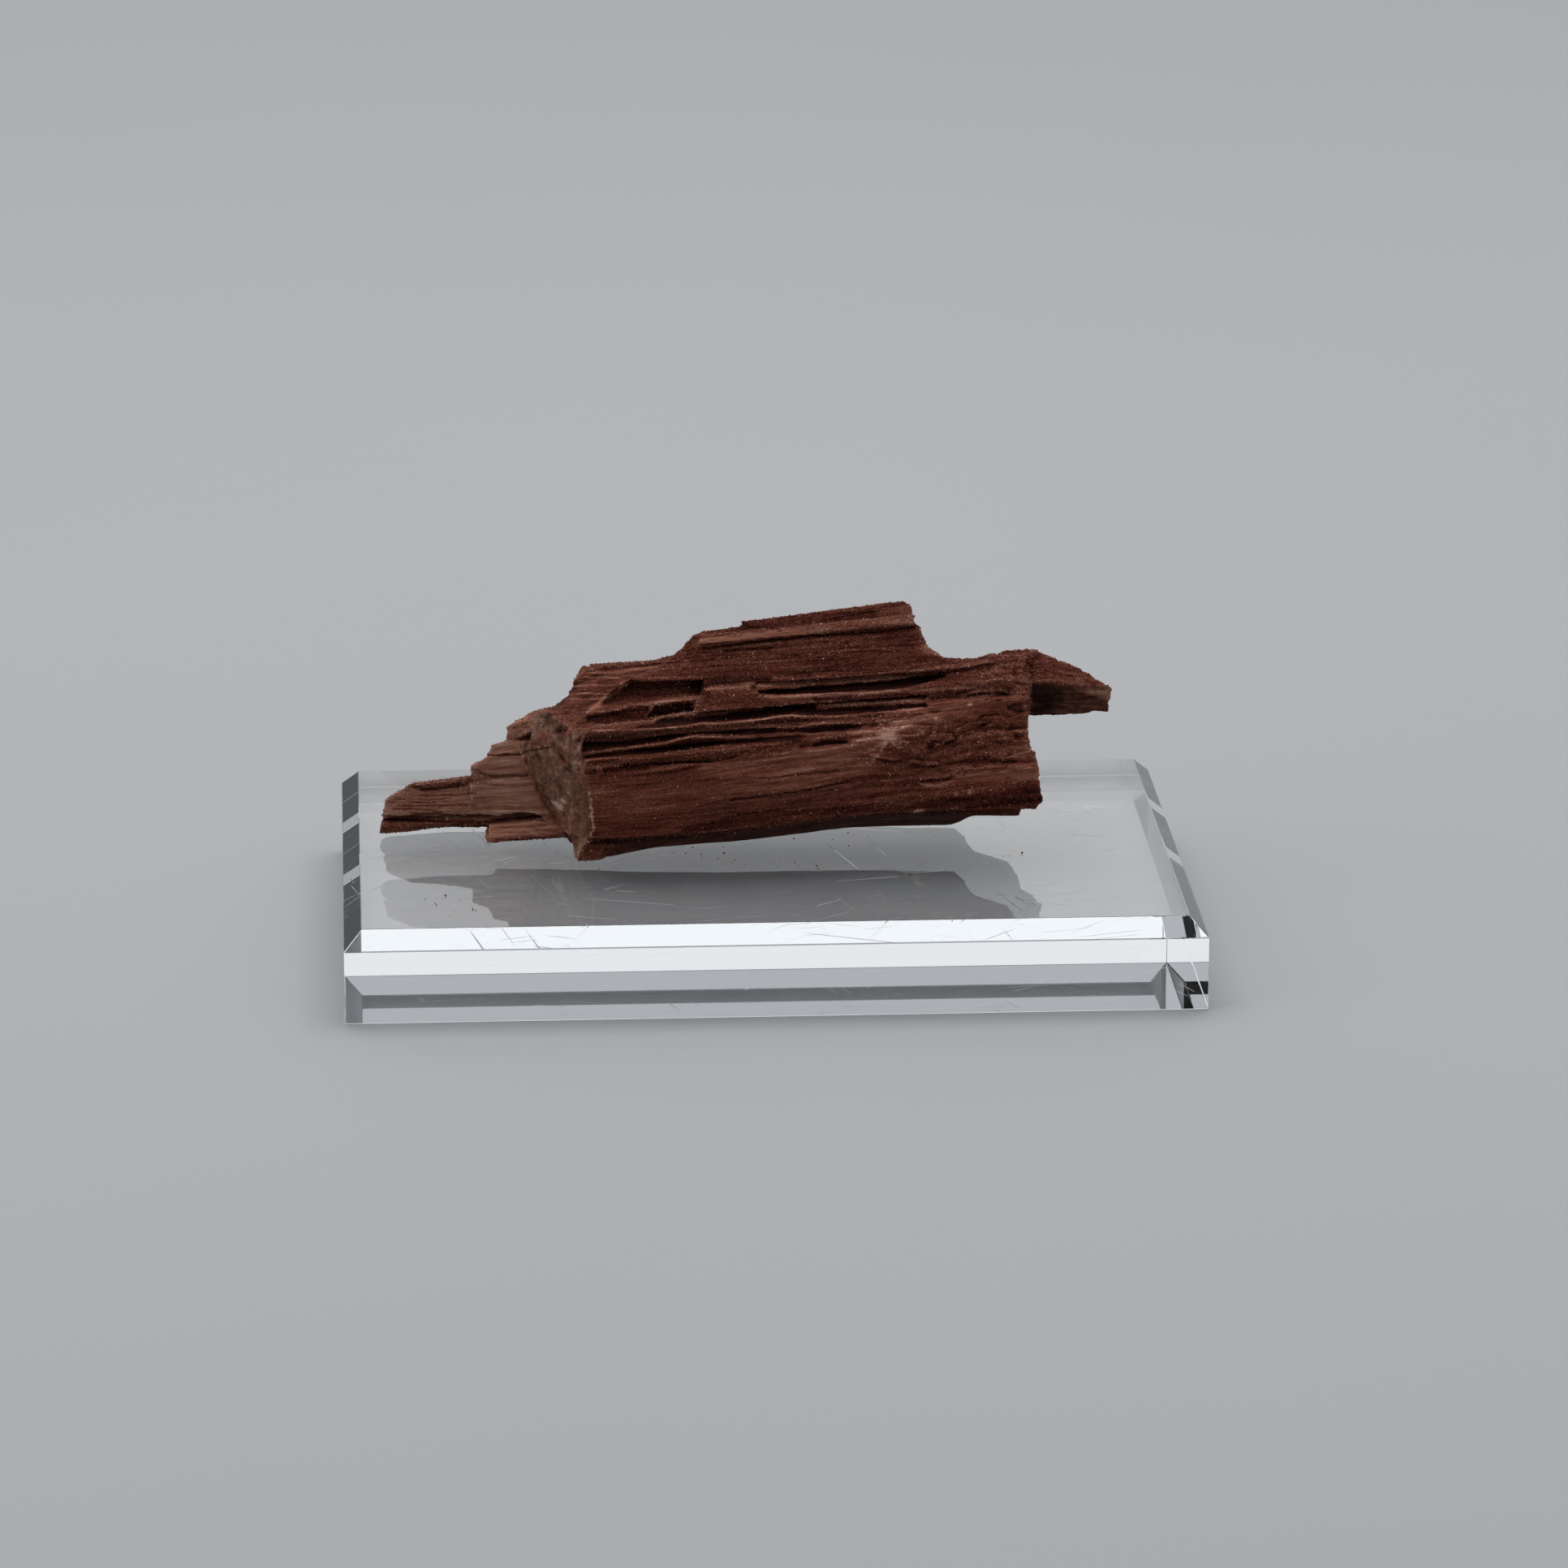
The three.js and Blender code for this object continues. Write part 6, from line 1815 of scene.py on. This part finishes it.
@dataclass
class SugarCrust:
    """Quartz grains grown over the weathered stone."""

    name: str
    seed: int
    grains: int = 24_000
    smallest: float = 0.13 * MM
    largest: float = 0.34 * MM
    smallness: float = 2.5
    standing_out: float = 0.25

    def spots(self, stone: Mesh, dice: np.random.Generator) -> tuple[np.ndarray, ...]:
        """Picks places on the sugary parts of the stone.

        Args:
            stone: The stone with its masks.
            dice: The source of chance.

        Returns:
            Places, outward directions, and the number of the stone's corner next to each.
        """
        triangles = np.array([list(face.vertices) for face in stone.polygons if len(face.vertices) == 3])
        points = read_rows(stone, "co")
        weight = read_mask(stone, "grit")
        first, second, third = (points[triangles[:, corner]] for corner in range(3))
        across = np.cross(second - first, third - first)
        area = np.linalg.norm(across, axis=1)
        facing = smoothstep(0.3, -0.3, across[:, 1] / np.maximum(area, 1e-15))
        chance = area * weight[triangles].mean(axis=1) ** 2 * (0.35 + 0.65 * facing)
        chosen = dice.choice(len(triangles), self.grains, p=chance / chance.sum())
        share = dice.random((self.grains, 2))
        share = np.where(share.sum(axis=1, keepdims=True) > 1, 1 - share, share)
        a, b = share[:, :1], share[:, 1:]
        places = first[chosen] + a * (second - first)[chosen] + b * (third - first)[chosen]
        return places, across[chosen] / np.maximum(area[chosen], 1e-12)[:, None], triangles[chosen, 0]

    def build(self, stone: Piece) -> Piece:
        """Grows the grains.

        Args:
            stone: The finished stone with its masks.

        Returns:
            One piece that holds every grain.
        """
        dice = np.random.default_rng(self.seed)
        places, outward, beside = self.spots(stone.data, dice)
        corners, triples = grain_template()
        size = self.smallest + (self.largest - self.smallest) * dice.random(self.grains) ** self.smallness
        shape = corners[None] * dice.uniform(0.65, 1.2, (self.grains, 1, 3))
        shape = np.einsum("nij,nkj->nki", random_turns(self.grains, dice), shape)
        low, high = (np.array(corner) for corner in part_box(WOOD_NODE))
        centres = places + outward * size[:, None] * self.standing_out
        points = shape * size[:, None, None] + centres[:, None]
        low[2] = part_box(BASE_NODE)[1][2] + CLEARANCE
        points = np.clip(points.reshape(-1, 3), low, high)
        faces = triples[None] + (np.arange(self.grains) * len(corners))[:, None, None]
        mesh = bpy.data.meshes.new(self.name)
        mesh.from_pydata(points, [], faces.reshape(-1, 3))
        write_mask(mesh, "grain_shade", np.repeat(dice.random(self.grains), len(corners)))
        for name in ("tone", "tan", "grey"):
            write_mask(mesh, name, np.repeat(read_mask(stone.data, name)[beside], len(corners)))
        return new_object(self.name, mesh)

    def dress(self, piece: Piece, material: Material) -> None:
        """Gives the grains their finish and lets them go with the stone.

        Args:
            piece: The grains.
            material: Their finish.
        """
        piece.data.materials.append(material)
        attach(piece, ROOT_BODY)


# ---------- the block


@dataclass
class DisplayBase:
    """The bevelled block that carries the stone."""

    bevel: float = 4.9 * MM
    softening: float = 0.22 * MM
    softening_segments: int = 2

    def build(self) -> Piece:
        """Makes the block: a box whose top edges are cut back at an angle, then all eased.

        Returns:
            The block.
        """
        low, high = (Vector(corner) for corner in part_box(BASE_NODE))
        size = high - low
        shape = bmesh.new()
        placed = Matrix.Translation((low + high) / 2) @ Matrix.Diagonal((*size, 1.0))
        bmesh.ops.create_cube(shape, size=1.0, matrix=placed)
        top = [edge for edge in shape.edges if all(v.co.z > high.z - MM for v in edge.verts)]
        bmesh.ops.bevel(
            shape, geom=top, offset=self.bevel, offset_type="OFFSET", affect="EDGES",
            segments=1, profile=0.5, material=-1,
        )
        bmesh.ops.bevel(
            shape, geom=list(shape.edges), offset=self.softening, offset_type="OFFSET",
            affect="EDGES", segments=self.softening_segments, profile=0.5, material=-1,
        )
        bmesh.ops.recalc_face_normals(shape, faces=shape.faces)
        return object_from_shape("display_base_block", shape)

    def dress(self, piece: Piece, finish: AcrylicFinish) -> None:
        """Gives the block its finish and its place on the model.

        Args:
            piece: The block.
            finish: Its finish.
        """
        piece.data.materials.append(finish.build())
        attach(piece, ROOT_BODY)
        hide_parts(BASE_NODE)


@dataclass
class FallenCrumbs:
    """Grains of stone that came off and lie on the block."""

    seed: int = 5
    heaps: tuple[tuple[float, float, int], ...] = (
        (-32, -9, 12), (-9.6, -16.7, 10), (12.6, -25.9, 12), (-18, -7, 10), (66, -24, 4),
        (-96, -52, 7), (-81, -60.5, 6), (-51, -28, 8), (24, 4, 9), (-60, -34, 8), (40, -40, 6),
    )
    spread: float = 5.0 * MM
    smallest: float = 0.13 * MM
    largest: float = 0.4 * MM
    brightest: float = 0.5

    def build(self) -> Piece:
        """Makes every crumb as a rough little stone in one mesh.

        Returns:
            The crumbs.
        """
        dice = np.random.default_rng(self.seed)
        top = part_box(BASE_NODE)[1][2]
        shape = bmesh.new()
        for x, y, count in self.heaps:
            for _ in range(count):
                size = self.smallest + (self.largest - self.smallest) * dice.random() ** 2
                offset = dice.normal(0, self.spread, 2)
                turn = Euler(dice.uniform(0, math.tau, 3)).to_matrix().to_4x4()
                squash = Matrix.Diagonal((*(size * dice.uniform(0.6, 1.1, 3)), 1.0))
                centre = Vector((x * MM + offset[0], y * MM + offset[1], top + size * 0.8))
                crumb = bmesh.ops.create_icosphere(
                    shape, subdivisions=1, radius=1.0, matrix=Matrix.Translation(centre) @ turn @ squash
                )
                for vertex in crumb["verts"]:
                    vertex.co = centre + (vertex.co - centre) * dice.uniform(0.75, 1.1)
                    vertex.co.z = max(vertex.co.z, top + CLEARANCE)
        return object_from_shape("fallen_crumbs", shape)

    def dress(self, piece: Piece, material: Material) -> None:
        """Gives the crumbs their finish; they go with the block.

        Args:
            piece: The crumbs.
            material: Their finish.
        """
        shades = np.random.default_rng(self.seed).random(len(piece.data.vertices))
        write_mask(piece.data, "grain_shade", shades * self.brightest)
        piece.data.materials.append(material)
        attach(piece, ROOT_BODY)


# ---------- studio


@dataclass(frozen=True)
class SoftLight:
    """One large light: where it hangs, what it faces, its width and height and how bright it looks."""

    name: str
    place: Triple
    aim: Triple
    size: tuple[float, float]
    radiance: float

    def hang(self) -> None:
        """Adds the light to the scene."""
        data = bpy.data.lights.new(self.name, "AREA")
        data.shape = "RECTANGLE"
        data.size, data.size_y = self.size
        data.energy = self.radiance * math.pi * self.size[0] * self.size[1]
        lamp = bpy.data.objects.new(self.name, data)
        lamp.location = self.place
        lamp.rotation_euler = (Vector(self.aim) - Vector(self.place)).to_track_quat("-Z", "Y").to_euler()
        bpy.context.scene.collection.objects.link(lamp)


@dataclass
class Studio:
    """Pale floor, soft lights and the camera."""

    floor_size: float = 9.0
    floor_drop: float = 0.25 * MM
    floor_colour: Colour = srgb(186, 187, 189)
    air_colour: Colour = (0.94, 0.97, 1.0)
    air_low: float = 0.25
    air_high: float = 0.55
    camera_place: Triple = (-0.11454, -2.11842, 0.65960)
    camera_turn: Triple = (73.773, 0.0, -3.267)
    lens: float = 180.27
    sensor_width: float = 36.0
    lights: tuple[SoftLight, ...] = (
        SoftLight("backdrop_light", (0.0, 2.6, 1.15), (0, 0, 0.5), (5.0, 2.2), 0.52),
        SoftLight("overhead_light", (0.0, 0.35, 1.7), (0, 0, 0.03), (2.0, 1.3), 1.6),
        SoftLight("left_light", (-1.9, -0.7, 1.0), (0, 0, 0.05), (1.2, 1.2), 0.8),
    )

    def build_floor(self) -> None:
        """Lays a plain pale sheet under everything."""
        shape = bmesh.new()
        bmesh.ops.create_grid(shape, x_segments=2, y_segments=2, size=self.floor_size / 2)
        bmesh.ops.translate(shape, vec=(0, 0, -self.floor_drop), verts=shape.verts)
        floor = object_from_shape("studio_floor", shape)
        material, bench, shader = start_material("floor_paper")
        shade = bench.noise(bench.stretched((3.0, 3.0, 3.0)), 1.0, 2.0)
        pale = tuple(0.97 * part for part in self.floor_colour)
        bench.feed(shader, "Base Color", bench.mix(shade, pale, self.floor_colour))
        shader.inputs["Roughness"].default_value = 0.9
        floor.data.materials.append(material)

    def build_world(self) -> None:
        """Fills the room with pale light that is stronger overhead."""
        world = bpy.data.worlds.new("studio_air")
        world.use_nodes = True
        bench = NodeBench(world.node_tree)
        background = world.node_tree.nodes["Background"]
        up = bench.add("ShaderNodeSeparateXYZ", Vector=bench.add("ShaderNodeTexCoord").outputs["Generated"])
        strength = bench.span(up.outputs["Z"], -0.1, 0.9, (self.air_low, self.air_high))
        background.inputs["Color"].default_value = (*self.air_colour, 1.0)
        bench.feed(background, "Strength", strength)
        bpy.context.scene.world = world

    def build_camera(self) -> None:
        """Sets the camera up."""
        data = bpy.data.cameras.new("studio_camera")
        data.lens = self.lens
        data.sensor_width = self.sensor_width
        data.sensor_fit = "HORIZONTAL"
        data.clip_end = 50.0
        camera = bpy.data.objects.new("studio_camera", data)
        camera.location = self.camera_place
        camera.rotation_euler = tuple(math.radians(angle) for angle in self.camera_turn)
        bpy.context.scene.collection.objects.link(camera)
        bpy.context.scene.camera = camera

    def build(self) -> None:
        """Sets up the whole studio."""
        self.build_floor()
        self.build_world()
        for light in self.lights:
            light.hang()
        self.build_camera()
        bpy.context.scene.view_settings.view_transform = "Standard"


def main() -> None:
    """Builds and dresses every piece."""
    Studio().build()

    base = DisplayBase()
    block = base.build()
    base.dress(block, AcrylicFinish())
    LOG.info("display base: %d faces", len(block.data.polygons))

    wood = PetrifiedWood()
    stone = wood.build()
    LOG.info("stone: %d faces", len(stone.data.polygons))

    grain_finish = CrystalFinish().build()
    for number in range(4):
        crust = SugarCrust(f"sugar_crust_{number + 1}", seed=101 + number)
        grains = crust.build(stone)
        crust.dress(grains, grain_finish)
        LOG.info("%s: %d faces", grains.name, len(grains.data.polygons))
    wood.dress(stone, StoneFinish())

    crumbs = FallenCrumbs()
    heap = crumbs.build()
    crumbs.dress(heap, grain_finish)
    LOG.info("crumbs: %d faces", len(heap.data.polygons))


if __name__ == "__main__":
    main()
